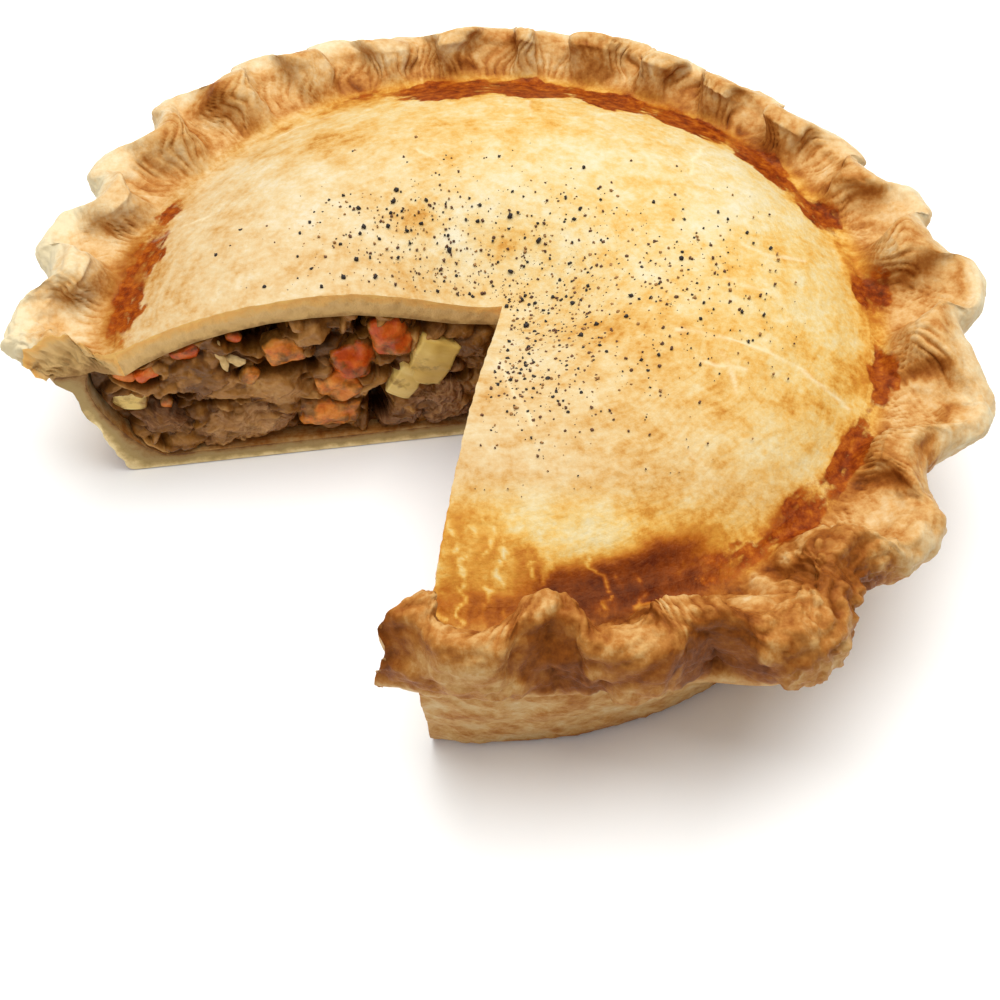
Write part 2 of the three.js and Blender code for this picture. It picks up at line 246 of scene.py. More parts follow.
@dataclass(frozen=True)
class PieForm:
    """The pie's shape without its relief, the same as its solids have."""

    cut_from: float = 189.2
    cut_to: float = 261.8
    apex: Pair = (3.0, -1.9)
    to_middle: Triple = (-2.8, -3.9, 0.0)
    gap: float = 0.4
    groove_radius: float = 95.0
    groove_height: float = 43.3
    lid_rise: float = 14.2
    shoulder_power: float = 4.5
    sag_depth: float = 10.2
    sag_radius: float = 26.0
    lid_thickness: float = 6.6
    thicker_at_rim: float = 1.6
    rim_reach: float = 121.5
    rim_uneven: float = 1.2
    crest_inset: float = 9.0
    crest_height: float = 51.4
    crest_nod: float = 2.1
    crest_uneven: float = 0.9
    still_angle: float = 92.0
    sway_behind: float = 2.6
    sway_front: float = 6.0
    waist_height: float = 44.6
    waist_sway: float = 3.1
    foot_out: float = 5.0
    foot_up: float = 0.8
    lower_inset: float = 2.5
    lower_least: float = 109.6
    seam_height: float = 38.0
    root_radius: float = 101.0
    root_inset: float = 7.0
    twist: float = 0.1
    flutes: float = 24.66
    flute_start: float = -18.91
    flute_uneven: float = 0.3
    flute_shifts: tuple[Triple, ...] = ((0.777, 1.0, 106.4), (-0.315, 2.0, -27.6))
    swells: tuple[Swell, ...] = (
        Swell(274.0, 20.0, -9.0, 0.0, 4.4, -2.5),
        Swell(305.0, 16.0, 6.0, 4.5, 3.4),
        Swell(354.0, 24.0, 4.0, 1.5, 0.5),
        Swell(60.0, 27.0, -4.0),
        Swell(98.0, 13.0, -2.0),
        Swell(126.0, 20.0, 2.0),
        Swell(158.0, 12.0, -2.0),
        Swell(182.0, 13.0, -2.5),
    )
    torn_angle: float = 3.6
    torn_fade: float = 9.0
    torn_from: float = 95.0
    torn_over: float = 9.0
    base_floor: float = 4.6
    wall_top_radius: float = 102.6
    lip_thickness: float = 2.6
    lip_inset: float = 1.5
    lip_rounding: float = 0.6
    base_outside: tuple[Pair, ...] = (
        (98.0, 0.0), (99.8, 1.1), (101.0, 5.6), (103.5, 14.8), (106.4, 24.5), (107.6, 32.0),
    )
    base_inside: tuple[Pair, ...] = (
        (89.0, 4.6), (94.6, 9.6), (98.9, 16.5), (102.5, 25.0), (103.8, 33.0),
    )

    def angles(self, columns: int) -> Array:
        """Even angles round the pie, from one cut to the other."""
        return np.linspace(self.cut_to, self.cut_from + TURN, columns + 1)

    def lid_top(self, radius: Array) -> Array:
        """Height of the lid's upper side, without relief.

        Args:
            radius: Radii of places on the lid.

        Returns:
            The heights.
        """
        shoulder = np.minimum(radius / self.groove_radius, 1.0) ** self.shoulder_power
        sag = self.sag_depth * np.exp(-((radius / self.sag_radius) ** 2))
        return self.groove_height + self.lid_rise * (1.0 - shoulder) - sag

    def lid_under(self, radius: Array) -> Array:
        """Height of the lid's underside."""
        thicker = self.thicker_at_rim * (radius / self.groove_radius) ** 4
        return self.lid_top(radius) - self.lid_thickness - thicker

    def flute_turns(self, angle: Array) -> Array:
        """How many flutes have passed at an angle.

        Args:
            angle: Angles round the pie.

        Returns:
            Flutes, whole and in parts.
        """
        turns = self.flute_start + self.flutes * angle / TURN
        for size, waves, start in self.flute_shifts:
            turns = turns + size * np.sin(np.radians(waves * angle - start))
        return turns

    def flute_wave(self, turns: Array) -> Array:
        """1 where a flute leans out and -1 where it is pressed in, uneven from flute to flute."""
        return np.cos(2.0 * np.pi * turns) * (1.0 + self.flute_uneven * wobble(turns))

    def widening(self, angle: Array) -> Array:
        """0 at the back of the rim, where its folds are narrowest, and 1 at the front."""
        return (1.0 - np.cos(np.radians(angle - self.still_angle))) / 2.0

    def sway(self, angle: Array) -> Array:
        """How far the crest swings in and out from fold to fold."""
        return self.sway_behind + (self.sway_front - self.sway_behind) * self.widening(angle)

    def rim_points(self, angle: Array) -> Array:
        """The rim's nine leading points, from the groove over the crest to the lower outer edge.

        Args:
            angle: Angles round the pie.

        Returns:
            Radius and height of each point, of shape (angles, 9, 2).
        """
        turns = self.flute_turns(angle)
        foot_wave = self.flute_wave(turns + 2.0 * self.twist)
        crest_wave = self.flute_wave(turns + self.twist)
        waist_wave = self.flute_wave(turns)
        reach = self.rim_reach + self.rim_uneven * wobble(turns * 0.5 + 7.0)
        inset = np.full_like(angle, self.crest_inset)
        top = self.crest_height - self.crest_nod * crest_wave + self.crest_uneven * wobble(turns + 17.0)
        groove = np.full_like(angle, self.groove_radius)
        for swell in self.swells:
            near = swell.near(angle)
            reach = reach + swell.reach * near
            inset = inset + swell.inset * near
            top = top + swell.lift * near
            groove = groove + swell.groove * near
        groove_height = self.lid_top(groove)
        foot = groove + self.foot_out + foot_wave
        crest = reach - inset + self.sway(angle) * crest_wave
        waist = reach - self.waist_sway * (1.0 - waist_wave)
        lower = np.maximum(waist - self.lower_inset, self.lower_least)
        inner_top = self.groove_height + 0.66 * (top - self.groove_height)
        seam = np.full_like(angle, self.seam_height)
        points = (
            (groove, groove_height),
            (foot, groove_height + self.foot_up),
            (foot + 0.55 * (crest - foot), inner_top),
            (crest - 2.5, top - 0.8),
            (crest + 1.5, top),
            (crest + 0.6 * (waist - crest) + 1.6, top - 2.8),
            (np.maximum(waist, lower + self.lower_inset / 3.0), self.waist_height - waist_wave),
            (lower + self.lower_inset / 4.0, seam + 2.4),
            (lower - 2.2, seam + self.gap),
        )
        return np.stack([np.stack(point, axis=-1) for point in points], axis=1)

    def plan(self, radius: Array, angle: Array) -> tuple[Array, Array]:
        """Where a radius and an angle lie, on rings round the axis at the rim and round the apex inside.

        Args:
            radius: Radii.
            angle: Angles.

        Returns:
            Places along X and along Y.
        """
        share = 1.0 - radius / self.rim_reach
        x = self.apex[0] * share + radius * np.cos(np.radians(angle))
        y = self.apex[1] * share + radius * np.sin(np.radians(angle))
        return x, y

    @property
    def inner_edge(self) -> float:
        """The radius at which the lid's underside leaves the dome for the rim."""
        return self.root_radius - self.root_inset

    def torn_turn(self, radius: Array, angle: Array) -> Array:
        """How far the lid's torn end stands out past the cut, as a turn back from an angle."""
        share = smooth_step(radius, self.torn_from, self.torn_from + self.torn_over)
        return self.torn_angle * share * np.exp((self.cut_to - angle) / self.torn_fade)

    def lip_radius(self, angle: Array) -> Array:
        """How far out the base's lip reaches under the rim."""
        wall = self.base_outside[-1][0]
        return np.maximum(self.rim_points(angle)[:, -1, 0] - self.lip_inset, wall + 0.3)

    def cut_frame(self, cut: Cut) -> tuple[Array, Array, float]:
        """The directions of a cut face.

        Args:
            cut: Which of the two cuts.

        Returns:
            The direction from the apex along the cut, the direction out of the face into the missing slice,
            and how far along the cut a radius of 1 lies from the apex.
        """
        angle = self.cut_from if cut is Cut.SHOWN else self.cut_to
        side = 1.0 if cut is Cut.SHOWN else -1.0
        x, y = self.plan(np.array(self.rim_reach), np.array(angle))
        way = np.array([float(x) - self.apex[0], float(y) - self.apex[1], 0.0])
        length = float(np.linalg.norm(way))
        way = way / length
        out = side * np.array([-way[1], way[0], 0.0])
        return way, out, length / self.rim_reach

    def to_frame(self, points: Array) -> Array:
        """Moves points to the row frame and turns them into metres."""
        return (points + np.array(self.to_middle)) * MM


def through_points(points: Array, steps: int) -> Array:
    """A smooth curve through leading points, with even steps from each point to the next.

    Args:
        points: Leading points, of shape (curves, count, 2).
        steps: Steps in the whole curve.

    Returns:
        Points along each curve, of shape (curves, steps + 1, 2).
    """
    last = points.shape[1] - 1
    position = np.linspace(0.0, last, steps + 1)
    start = np.minimum(np.floor(position).astype(int), last - 1)
    t = (position - start)[None, :, None]
    before = points[:, np.maximum(start - 1, 0)]
    here = points[:, start]
    there = points[:, start + 1]
    after = points[:, np.minimum(start + 2, last)]
    leave = (there - before) / 2.0
    arrive = (after - here) / 2.0
    cubic = 2.0 * here - 2.0 * there + leave + arrive
    square = -3.0 * here + 3.0 * there - 2.0 * leave - arrive
    return ((cubic * t + square) * t + leave) * t + here


def along_points(points: Array, steps: int) -> Array:
    """Points at even steps of each leg along broken lines.

    Args:
        points: Corners of the lines, of shape (lines, count, 2).
        steps: Steps in the whole line.

    Returns:
        Points along each line, of shape (lines, steps + 1, 2).
    """
    position = np.linspace(0.0, points.shape[1] - 1, steps + 1)
    start = np.minimum(np.floor(position).astype(int), points.shape[1] - 2)
    t = (position - start)[None, :, None]
    return points[:, start] * (1.0 - t) + points[:, start + 1] * t


def grid_normals(grid: Array) -> Array:
    """Unit normals of a grid of points, by the right hand from its rows to its columns.

    Args:
        grid: Points of shape (columns, rows, 3).

    Returns:
        The normals, of the same shape.
    """
    normal = np.cross(np.gradient(grid, axis=1), np.gradient(grid, axis=0))
    length = np.linalg.norm(normal, axis=-1, keepdims=True)
    return normal / np.maximum(length, 1e-9)


@dataclass
class Patchwork:
    """The points, faces and painted values of one mesh while it is put together."""

    form: PieForm
    points: list[Array] = field(default_factory=list)
    faces: list[Array] = field(default_factory=list)
    finishes: list[Array] = field(default_factory=list)
    values: list[dict[str, Array]] = field(default_factory=list)
    count: int = 0

    def add(self, points: Array, faces: list[Array], finish: int, values: dict[str, Array]) -> None:
        """Adds points with their faces.

        Args:
            points: Points of shape (count, 3).
            faces: Arrays of triangles and of quads, numbered from the first of these points.
            finish: Which of the mesh's materials the faces take.
            values: Painted values, each with one number or one vector per point. Others are 0 there.
        """
        for group in faces:
            self.faces.append(group + self.count)
            self.finishes.append(np.full(len(group), finish))
        self.points.append(points)
        self.values.append(values)
        self.count += len(points)

    def painted(self, label: str) -> Array:
        """One painted value of the whole mesh, which is 0 on the parts that leave it out.

        Args:
            label: The value's name.

        Returns:
            A number or a vector for each point.
        """
        parts = [(len(points), values.get(label)) for points, values in zip(self.points, self.values)]
        shape = next(value.shape[1:] for _, value in parts if value is not None)
        filled = [np.zeros((count, *shape)) if value is None else value for count, value in parts]
        return np.concatenate(filled)

    def sheet(self, grid: Array, finish: int, values: dict[str, Array], pinched: bool = False) -> None:
        """Adds a grid of points as quads, with normals by the right hand from rows to columns.

        Args:
            grid: Points of shape (columns, rows, 3).
            finish: Which of the mesh's materials the faces take.
            values: Painted values of shape (columns, rows).
            pinched: Whether the first row is one point, and the last row another.
        """
        columns, rows = grid.shape[:2]
        number = np.arange(columns * rows).reshape(columns, rows)
        if pinched:
            number[:, 0] = number[0, 0]
            number[:, -1] = number[0, -1]
        a, b = number[:-1, :-1], number[:-1, 1:]
        c, d = number[1:, 1:], number[1:, :-1]
        quads = np.stack([a, b, c, d], axis=-1)
        faces = [quads.reshape(-1, 4)]
        if pinched:
            first = quads[:, 0][:, [0, 1, 2]]
            last = quads[:, -1][:, [0, 1, 3]]
            faces = [quads[:, 1:-1].reshape(-1, 4), first, last]
        used, renumber = np.unique(number, return_inverse=True)
        lookup = np.zeros(columns * rows, dtype=int)
        lookup[number.ravel()] = renumber.ravel()
        flat = {name: value.reshape(-1, *value.shape[2:])[used] for name, value in values.items()}
        self.add(grid.reshape(-1, 3)[used], [lookup[group] for group in faces], finish, flat)

    def piece(self, name: str, node: str, materials: list[Material]) -> None:
        """Makes the mesh, which rides on the part and stands for one of its nodes.

        Args:
            name: The piece's name.
            node: The CAD node that it stands for, whose solid it hides.
            materials: The materials that the faces take by number.
        """
        mesh = bpy.data.meshes.new(name)
        points = self.form.to_frame(np.concatenate(self.points))
        faces = [face for group in self.faces for face in group.tolist()]
        mesh.from_pydata(points.tolist(), [], faces)
        for material in materials:
            mesh.materials.append(material)
        mesh.polygons.foreach_set("material_index", np.concatenate(self.finishes).astype(np.int32))
        mesh.polygons.foreach_set("use_smooth", np.ones(len(faces), dtype=bool))
        for label in dict.fromkeys(itertools.chain.from_iterable(self.values)):
            value = self.painted(label).astype(np.float32)
            kind, key = ("FLOAT_VECTOR", "vector") if value.ndim == 2 else ("FLOAT", "value")
            mesh.attributes.new(label, kind, "POINT").data.foreach_set(key, value.ravel())
        mesh.update()
        made = bpy.data.objects.new(name, mesh)
        bpy.context.scene.collection.objects.link(made)
        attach(made, "root")
        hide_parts(node)
        triangles = sum(len(polygon.vertices) - 2 for polygon in mesh.polygons)
        log.info("%s: %d triangles", name, triangles)


class Shading:
    """A material's node tree, with short ways to add nodes and join them."""

    def __init__(self, name: str) -> None:
        """Starts a material with a Principled shader.

        Args:
            name: The material's name.
        """
        self.material = bpy.data.materials.new(name)
        self.material.use_nodes = True
        self.tree = self.material.node_tree
        self.shader = self.tree.nodes["Principled BSDF"]

    def feed(self, socket: Socket, source: object) -> None:
        """Links a socket to another, or sets its value.

        Args:
            socket: The input.
            source: Another node's socket, or a value.
        """
        if isinstance(source, Socket):
            self.tree.links.new(source, socket)
        else:
            socket.default_value = source

    def surface(self, **inputs: object) -> None:
        """Sets or links inputs of the Principled shader, named with _ for each space."""
        for label, source in inputs.items():
            self.feed(self.shader.inputs[label.replace("_", " ")], source)

    def space(self) -> Socket:
        """The mesh's own coordinates, in metres."""
        return self.tree.nodes.new("ShaderNodeTexCoord").outputs["Object"]

    def painted(self, name: str, vector: bool = False) -> Socket:
        """A value painted on the mesh.

        Args:
            name: The value's name.
            vector: Whether it is a vector.

        Returns:
            The value's socket.
        """
        node = self.tree.nodes.new("ShaderNodeAttribute")
        node.attribute_name = name
        return node.outputs["Vector" if vector else "Fac"]

    def stretched(self, vector: Socket, scale: Triple) -> Socket:
        """Coordinates scaled by different amounts along the three axes.

        Args:
            vector: The coordinates.
            scale: The three amounts.

        Returns:
            The scaled coordinates' socket.
        """
        node = self.tree.nodes.new("ShaderNodeMapping")
        self.feed(node.inputs["Vector"], vector)
        node.inputs["Scale"].default_value = scale
        return node.outputs["Vector"]

    def noise(self, vector: Socket, scale: float, detail: float = 4.0, rough: float = 0.55) -> Socket:
        """Noise from 0 to 1.

        Args:
            vector: Coordinates to read it at.
            scale: Waves per unit of the coordinates.
            detail: Number of finer layers.
            rough: Strength of the finer layers.

        Returns:
            The noise's socket.
        """
        node = self.tree.nodes.new("ShaderNodeTexNoise")
        self.feed(node.inputs["Vector"], vector)
        node.inputs["Scale"].default_value = scale
        node.inputs["Detail"].default_value = detail
        node.inputs["Roughness"].default_value = rough
        return node.outputs["Fac"]

    def maths(self, kind: str, first: object, second: object) -> Socket:
        """A sum, product or other operation on two values.

        Args:
            kind: The operation, by the name that Blender gives it.
            first: The first value.
            second: The second value.

        Returns:
            The result's socket.
        """
        node = self.tree.nodes.new("ShaderNodeMath")
        node.operation = kind
        self.feed(node.inputs[0], first)
        self.feed(node.inputs[1], second)
        return node.outputs[0]

    def span(self, value: Socket, start: Pair, end: Pair) -> Socket:
        """Maps the values of start to those of end, and holds them there.

        Args:
            value: The value.
            start: Its two ends.
            end: What they become.

        Returns:
            The mapped value's socket.
        """
        node = self.tree.nodes.new("ShaderNodeMapRange")
        self.feed(node.inputs["Value"], value)
        node.inputs["From Min"].default_value, node.inputs["From Max"].default_value = start
        node.inputs["To Min"].default_value, node.inputs["To Max"].default_value = end
        return node.outputs["Result"]

    def ramp(self, value: Socket, stops: Stops) -> Socket:
        """Turns a value into a colour through named stops of position and colour code.

        Args:
            value: The value, from 0 to 1.
            stops: Positions with their colour codes.

        Returns:
            The colour's socket.
        """
        node = self.tree.nodes.new("ShaderNodeValToRGB")
        self.feed(node.inputs["Fac"], value)
        row = node.color_ramp.elements
        while len(row) < len(stops):
            row.new(1.0)
        for element, (position, code) in zip(row, stops):
            element.position = position
            element.color = paint(code)
        return node.outputs["Color"]

    def mix(self, share: object, first: object, second: object) -> Socket:
        """A colour between two others.

        Args:
            share: 0 for the first and 1 for the second.
            first: The first colour.
            second: The second colour.

        Returns:
            The colour's socket.
        """
        node = self.tree.nodes.new("ShaderNodeMix")
        node.data_type = "RGBA"
        self.feed(node.inputs[0], share)
        self.feed(node.inputs[6], first)
        self.feed(node.inputs[7], second)
        return node.outputs[2]

    def bump(self, height: Socket, depth: float, under: Socket | None = None) -> Socket:
        """A normal from heights of 0 to 1.

        Args:
            height: The heights.
            depth: How far 1 stands above 0, in millimetres.
            under: The normal that this one is laid over.

        Returns:
            The normal's socket.
        """
        node = self.tree.nodes.new("ShaderNodeBump")
        self.feed(node.inputs["Height"], height)
        node.inputs["Distance"].default_value = depth * MM
        if under is not None:
            self.feed(node.inputs["Normal"], under)
        return node.outputs["Normal"]


@dataclass(frozen=True)
class BakedPastry:
    """Egg-washed pastry, from cream through gold and amber to dark brown by how far it has baked, with the
    painted light and shade that the rim's bake value carries.
    """

    name: str = "baked_pastry"
    lid_colours: Stops = (
        (0.0, "#CEC4A5"), (0.2, "#CCB989"), (0.35, "#CBAB69"), (0.48, "#C89A4B"), (0.6, "#B97F2E"),
        (0.74, "#9F5815"), (0.86, "#783409"), (1.0, "#4C1504"),
    )
    tan_colours: Stops = (
        (0.0, "#CCC0A6"), (0.2, "#C7B188"), (0.35, "#C2A373"), (0.48, "#B99057"), (0.6, "#A97535"),
        (0.74, "#935317"), (0.86, "#73320A"), (1.0, "#4B1605"),
    )
    rim_colours: Stops = (
        (0.0, "#D3C39E"), (0.2, "#CDB082"), (0.4, "#C0945A"), (0.58, "#A86E32"), (0.76, "#874A18"),
        (1.0, "#4B1805"),
    )
    crack_colour: str = "#D8CCA8"
    toast_colours: Stops = (
        (0.3, "#4C1602"), (0.45, "#742A04"), (0.58, "#92440A"), (0.75, "#B2681C"),
    )
    toast_edge: Pair = (0.42, 0.68)
    toast_noise: Triple = (330.0, 6.0, 0.68)
    toast_uneven: Pair = (-0.35, 0.35)
    mottle: float = 0.1
    mottle_noise: Triple = (130.0, 7.0, 0.68)
    speckle: float = 0.075
    speckle_noise: Triple = (620.0, 4.0, 0.65)
    streak: float = 0.05
    streak_noise: Triple = (1.0, 5.0, 0.6)
    streak_scale: Triple = (0.45, 0.11, 0.3)
    dull: float = 0.55
    glossy: float = 0.3
    shine: float = 0.13
    shine_tint: str = "#FFDCA0"
    grain_depth: float = 0.4
    grain_noise: Triple = (420.0, 6.0, 0.62)
    streak_depth: float = 0.2

    def material(self) -> Material:
        """The finish, which reads bake, tan, toast, rim, gloss, crack and grain from the mesh.

        Returns:
            The material.
        """
        shading = Shading(self.name)
        space = shading.space()
        mottle = shading.noise(space, *self.mottle_noise)
        speckle = shading.noise(space, *self.speckle_noise)
        brushed = shading.stretched(shading.painted("grain", vector=True), self.streak_scale)
        streak = shading.noise(brushed, *self.streak_noise)
        bake = shading.painted("bake")
        calm = shading.span(shading.painted("gloss"), (0.3, 0.9), (1.0, 0.4))
        for wave, strength in ((mottle, self.mottle), (speckle, self.speckle), (streak, self.streak)):
            uneven = shading.span(wave, (0.35, 0.65), (-strength, strength))
            bake = shading.maths("ADD", bake, shading.maths("MULTIPLY", uneven, calm))
        lid = shading.mix(
            shading.painted("tan"), shading.ramp(bake, self.lid_colours), shading.ramp(bake, self.tan_colours)
        )
        colour = shading.mix(shading.painted("rim"), lid, shading.ramp(bake, self.rim_colours))
        granular = shading.noise(space, *self.toast_noise)
        uneven = shading.span(granular, (0.2, 0.8), self.toast_uneven)
        toast = shading.maths("ADD", shading.painted("toast"), uneven)
        toasted = shading.span(toast, self.toast_edge, (0.0, 1.0))
        colour = shading.mix(toasted, colour, shading.ramp(granular, self.toast_colours))
        fine = shading.bump(shading.noise(space, *self.grain_noise), self.grain_depth)
        shading.surface(
            Base_Color=shading.mix(shading.painted("crack"), colour, paint(self.crack_colour)),
            Roughness=shading.span(shading.painted("gloss"), (0.0, 1.0), (self.dull, self.glossy)),
            Specular_IOR_Level=self.shine,
            Specular_Tint=paint(self.shine_tint),
            Normal=shading.bump(streak, self.streak_depth, fine),
        )
        return shading.material


@dataclass(frozen=True)
class PastryCrumb:
    """Cut pastry: pale, close and matt, browner under the crust and damp where it meets the gravy."""

    name: str = "lid_crumb"
    colours: Stops = (
        (0.0, "#F0BE6A"), (0.14, "#EAB060"), (0.3, "#E6B66C"),
        (0.45, "#DEB678"), (0.8, "#D4AC6C"), (1.0, "#A47C48"),
    )
    roughness: float = 0.6
    shine: float = 0.15
    depth_noise: Triple = (260.0, 5.0, 0.6)
    depth_uneven: Pair = (-0.16, 0.16)
    grain_noise: Triple = (900.0, 5.0, 0.65)
    grain_depth: float = 0.3

    def material(self) -> Material:
        """The finish, which reads depth from the mesh, from 0 at the crust to 1 at the gravy.

        Returns:
            The material.
        """
        shading = Shading(self.name)
        space = shading.space()
        wave = shading.span(shading.noise(space, *self.depth_noise), (0.3, 0.7), self.depth_uneven)
        depth = shading.maths("ADD", shading.painted("depth"), wave)
        shading.surface(
            Base_Color=shading.ramp(depth, self.colours),
            Roughness=self.roughness,
            Specular_IOR_Level=self.shine,
            Normal=shading.bump(shading.noise(space, *self.grain_noise), self.grain_depth),
        )
        return shading.material


# The palest stops, on the outer side of the wall's cut, are partly the crumb's own cream and partly painted
# light on the crumbly edge.
BASE_CRUMB = PastryCrumb(
    name="base_crumb",
    colours=(
        (0.0, "#F8E2AC"), (0.12, "#ECD298"), (0.26, "#CBAE74"), (0.42, "#AE925C"),
        (0.65, "#A88C5A"), (0.88, "#946C3C"), (1.0, "#6C441C"),
    ),
)


@dataclass(frozen=True)
class WetFood:
    """A piece of the filling, patched with gravy, with its own colours and grain."""

    name: str
    colours: Stops
    grain_scale: Triple = (0.35, 0.35, 0.35)
    grain_noise: Triple = (1.0, 6.0, 0.62)
    grain_depth: float = 0.35
    film_noise: Triple = (190.0, 5.0, 0.6)
    coated: Pair = (0.46, 0.6)
    roughness: float = 0.3
    shine: float = 0.22

    def material(self) -> Material:
        """The finish, which reads grain, in millimetres, tone and sunken from the mesh.

        Returns:
            The material.
        """
        shading = Shading(self.name)
        grain = shading.stretched(shading.painted("grain", vector=True), self.grain_scale)
        fine = shading.noise(grain, *self.grain_noise)
        tone = shading.maths("ADD", fine, shading.painted("tone"))
        film = shading.noise(shading.space(), *self.film_noise)
        film = shading.maths("ADD", film, shading.painted("sunken"))
        coat = shading.span(film, self.coated, (0.0, 1.0))
        gravy = shading.ramp(tone, GRAVY_COLOURS)
        shading.surface(
            Base_Color=shading.mix(coat, shading.ramp(tone, self.colours), gravy),
            Roughness=self.roughness,
            Specular_IOR_Level=self.shine,
            Normal=shading.bump(fine, self.grain_depth),
        )
        return shading.material


GRAVY_COLOURS = ((0.2, "#2A1303"), (0.4, "#623810"), (0.55, "#84541E"), (0.72, "#A87438"), (0.9, "#C49654"))
CARROT = WetFood(
    name="carrot",
    colours=((0.2, "#A84A12"), (0.45, "#CC6A1E"), (0.6, "#DA822E"), (0.8, "#E69C48")),
    coated=(0.47, 0.62),
)
TOMATO = WetFood(
    name="tomato",
    colours=((0.2, "#983208"), (0.45, "#C04C14"), (0.6, "#CE6220"), (0.8, "#DA8238")),
    coated=(0.48, 0.64),
    roughness=0.2,
)
CELERY = WetFood(
    name="celery",
    colours=((0.2, "#CCA44C"), (0.45, "#DAB660"), (0.6, "#E2C272"), (0.8, "#EAD08A")),
    grain_scale=(0.06, 0.22, 0.22),
    grain_depth=0.2,
    coated=(0.54, 0.72),
)
FLAKE = WetFood(
    name="pastry_flake",
    colours=((0.25, "#B89050"), (0.55, "#DCBA7C"), (0.8, "#ECD29C")),
    coated=(0.62, 0.8),
    roughness=0.5,
)


@dataclass(frozen=True)
class StewedMeat:
    """Beef in brown gravy: smooth and tan where it is coated, dark and stringy where it is bare."""

    name: str = "meat_and_gravy"
    beef: Stops = ((0.25, "#301808"), (0.42, "#643E24"), (0.58, "#8A5C38"), (0.8, "#B88A5A"))
    strings: Triple = (0.25, 1.1, 1.1)
    string_noise: Triple = (1.0, 6.0, 0.62)
    cloud_noise: Triple = (130.0, 6.0, 0.6)
    coat_noise: Triple = (170.0, 5.0, 0.6)
    film_noise: Triple = (380.0, 5.0, 0.6)
    coated: Pair = (0.4, 0.62)
    roughness: float = 0.17
    shine: float = 0.3
    shine_tint: str = "#FFE6C0"
    grain_depth: float = 0.7
    film_depth: float = 0.45

    def material(self) -> Material:
        """The finish, which reads grain, in millimetres, tone, which holds painted shade, and bare from the
        mesh.

        Returns:
            The material.
        """
        shading = Shading(self.name)
        space = shading.space()
        stringy = shading.stretched(shading.painted("grain", vector=True), self.strings)
        strings = shading.noise(stringy, *self.string_noise)
        cloud = shading.noise(space, *self.cloud_noise)
        coat = shading.span(shading.noise(space, *self.coat_noise), self.coated, (0.0, 1.0))
        bare = shading.maths("MULTIPLY", shading.painted("bare"), shading.span(coat, (0.0, 1.0), (1.0, 0.25)))
        tone = shading.painted("tone")
        gravy = shading.ramp(shading.maths("ADD", cloud, tone), GRAVY_COLOURS)
        beef = shading.ramp(shading.maths("ADD", strings, tone), self.beef)
        film = shading.bump(shading.noise(space, *self.film_noise), self.film_depth)
        shading.surface(
            Base_Color=shading.mix(bare, gravy, beef),
            Roughness=self.roughness,
            Specular_IOR_Level=self.shine,
            Specular_Tint=paint(self.shine_tint),
            Normal=shading.bump(shading.maths("MULTIPLY", strings, bare), self.grain_depth, film),
        )
        return shading.material


@dataclass(frozen=True)
class PepperSkin:
    """Cracked pepper, dark or light by the kind of grain."""

    name: str
    colours: Stops
    roughness: float = 0.7
    grain_noise: Triple = (1600.0, 4.0, 0.6)
    grain_depth: float = 0.15

    def material(self) -> Material:
        """The finish, which reads nothing from the mesh.

        Returns:
            The material.
        """
        shading = Shading(self.name)
        wave = shading.noise(shading.space(), *self.grain_noise)
        shading.surface(
            Base_Color=shading.ramp(wave, self.colours),
            Roughness=self.roughness,
            Normal=shading.bump(wave, self.grain_depth),
        )
        return shading.material


@dataclass(frozen=True)
class ToastedPatch:
    """A patch on the lid that baked darker or paler than the rest, in plan."""

    x: float
    y: float
    across: float
    along: float
    strength: float

    def read(self, x: Array, y: Array) -> Array:
        """The patch's strength at places on the lid."""
        return self.strength * np.exp(-(((x - self.x) / self.across) ** 2 + ((y - self.y) / self.along) ** 2))


@dataclass(frozen=True)
class ToastedSpot:
    """A spot on the rim, by its angle and its share of the way from the groove to the lower edge."""

    angle: float
    share: float
    turn: float
    height: float
    strength: float

    def read(self, angle: Array, share: Array) -> Array:
        """The spot's strength at places on the rim."""
        return self.strength * near_angle(angle, self.angle, self.turn) * hump(share, self.share, self.height)


@dataclass(frozen=True)
class GrooveMark:
    """A toasted stretch of the groove, by its angle and its width inwards and outwards of it."""

    angle: float
    spread: float
    strength: float
    inner: float
    outer: float

    def read(self, angle: Array, across: Array, ragged: Array) -> Array:
        """The mark's strength by angle and by millimetres outwards of the groove.

        Args:
            angle: Angles round the pie.
            across: Millimetres outwards of the groove.
            ragged: Millimetres by which the mark's edge wanders.

        Returns:
            The strength, from 0 to about 1.
        """
        along = near_angle(angle, self.angle, self.spread)
        width = 0.35 + 0.65 * along
        start = smooth_step(across - ragged, width * self.inner - 2.0, width * self.inner + 1.0)
        end = 1.0 - smooth_step(across + ragged, width * self.outer - 1.0, width * self.outer + 2.0)
        return self.strength * along * start * end


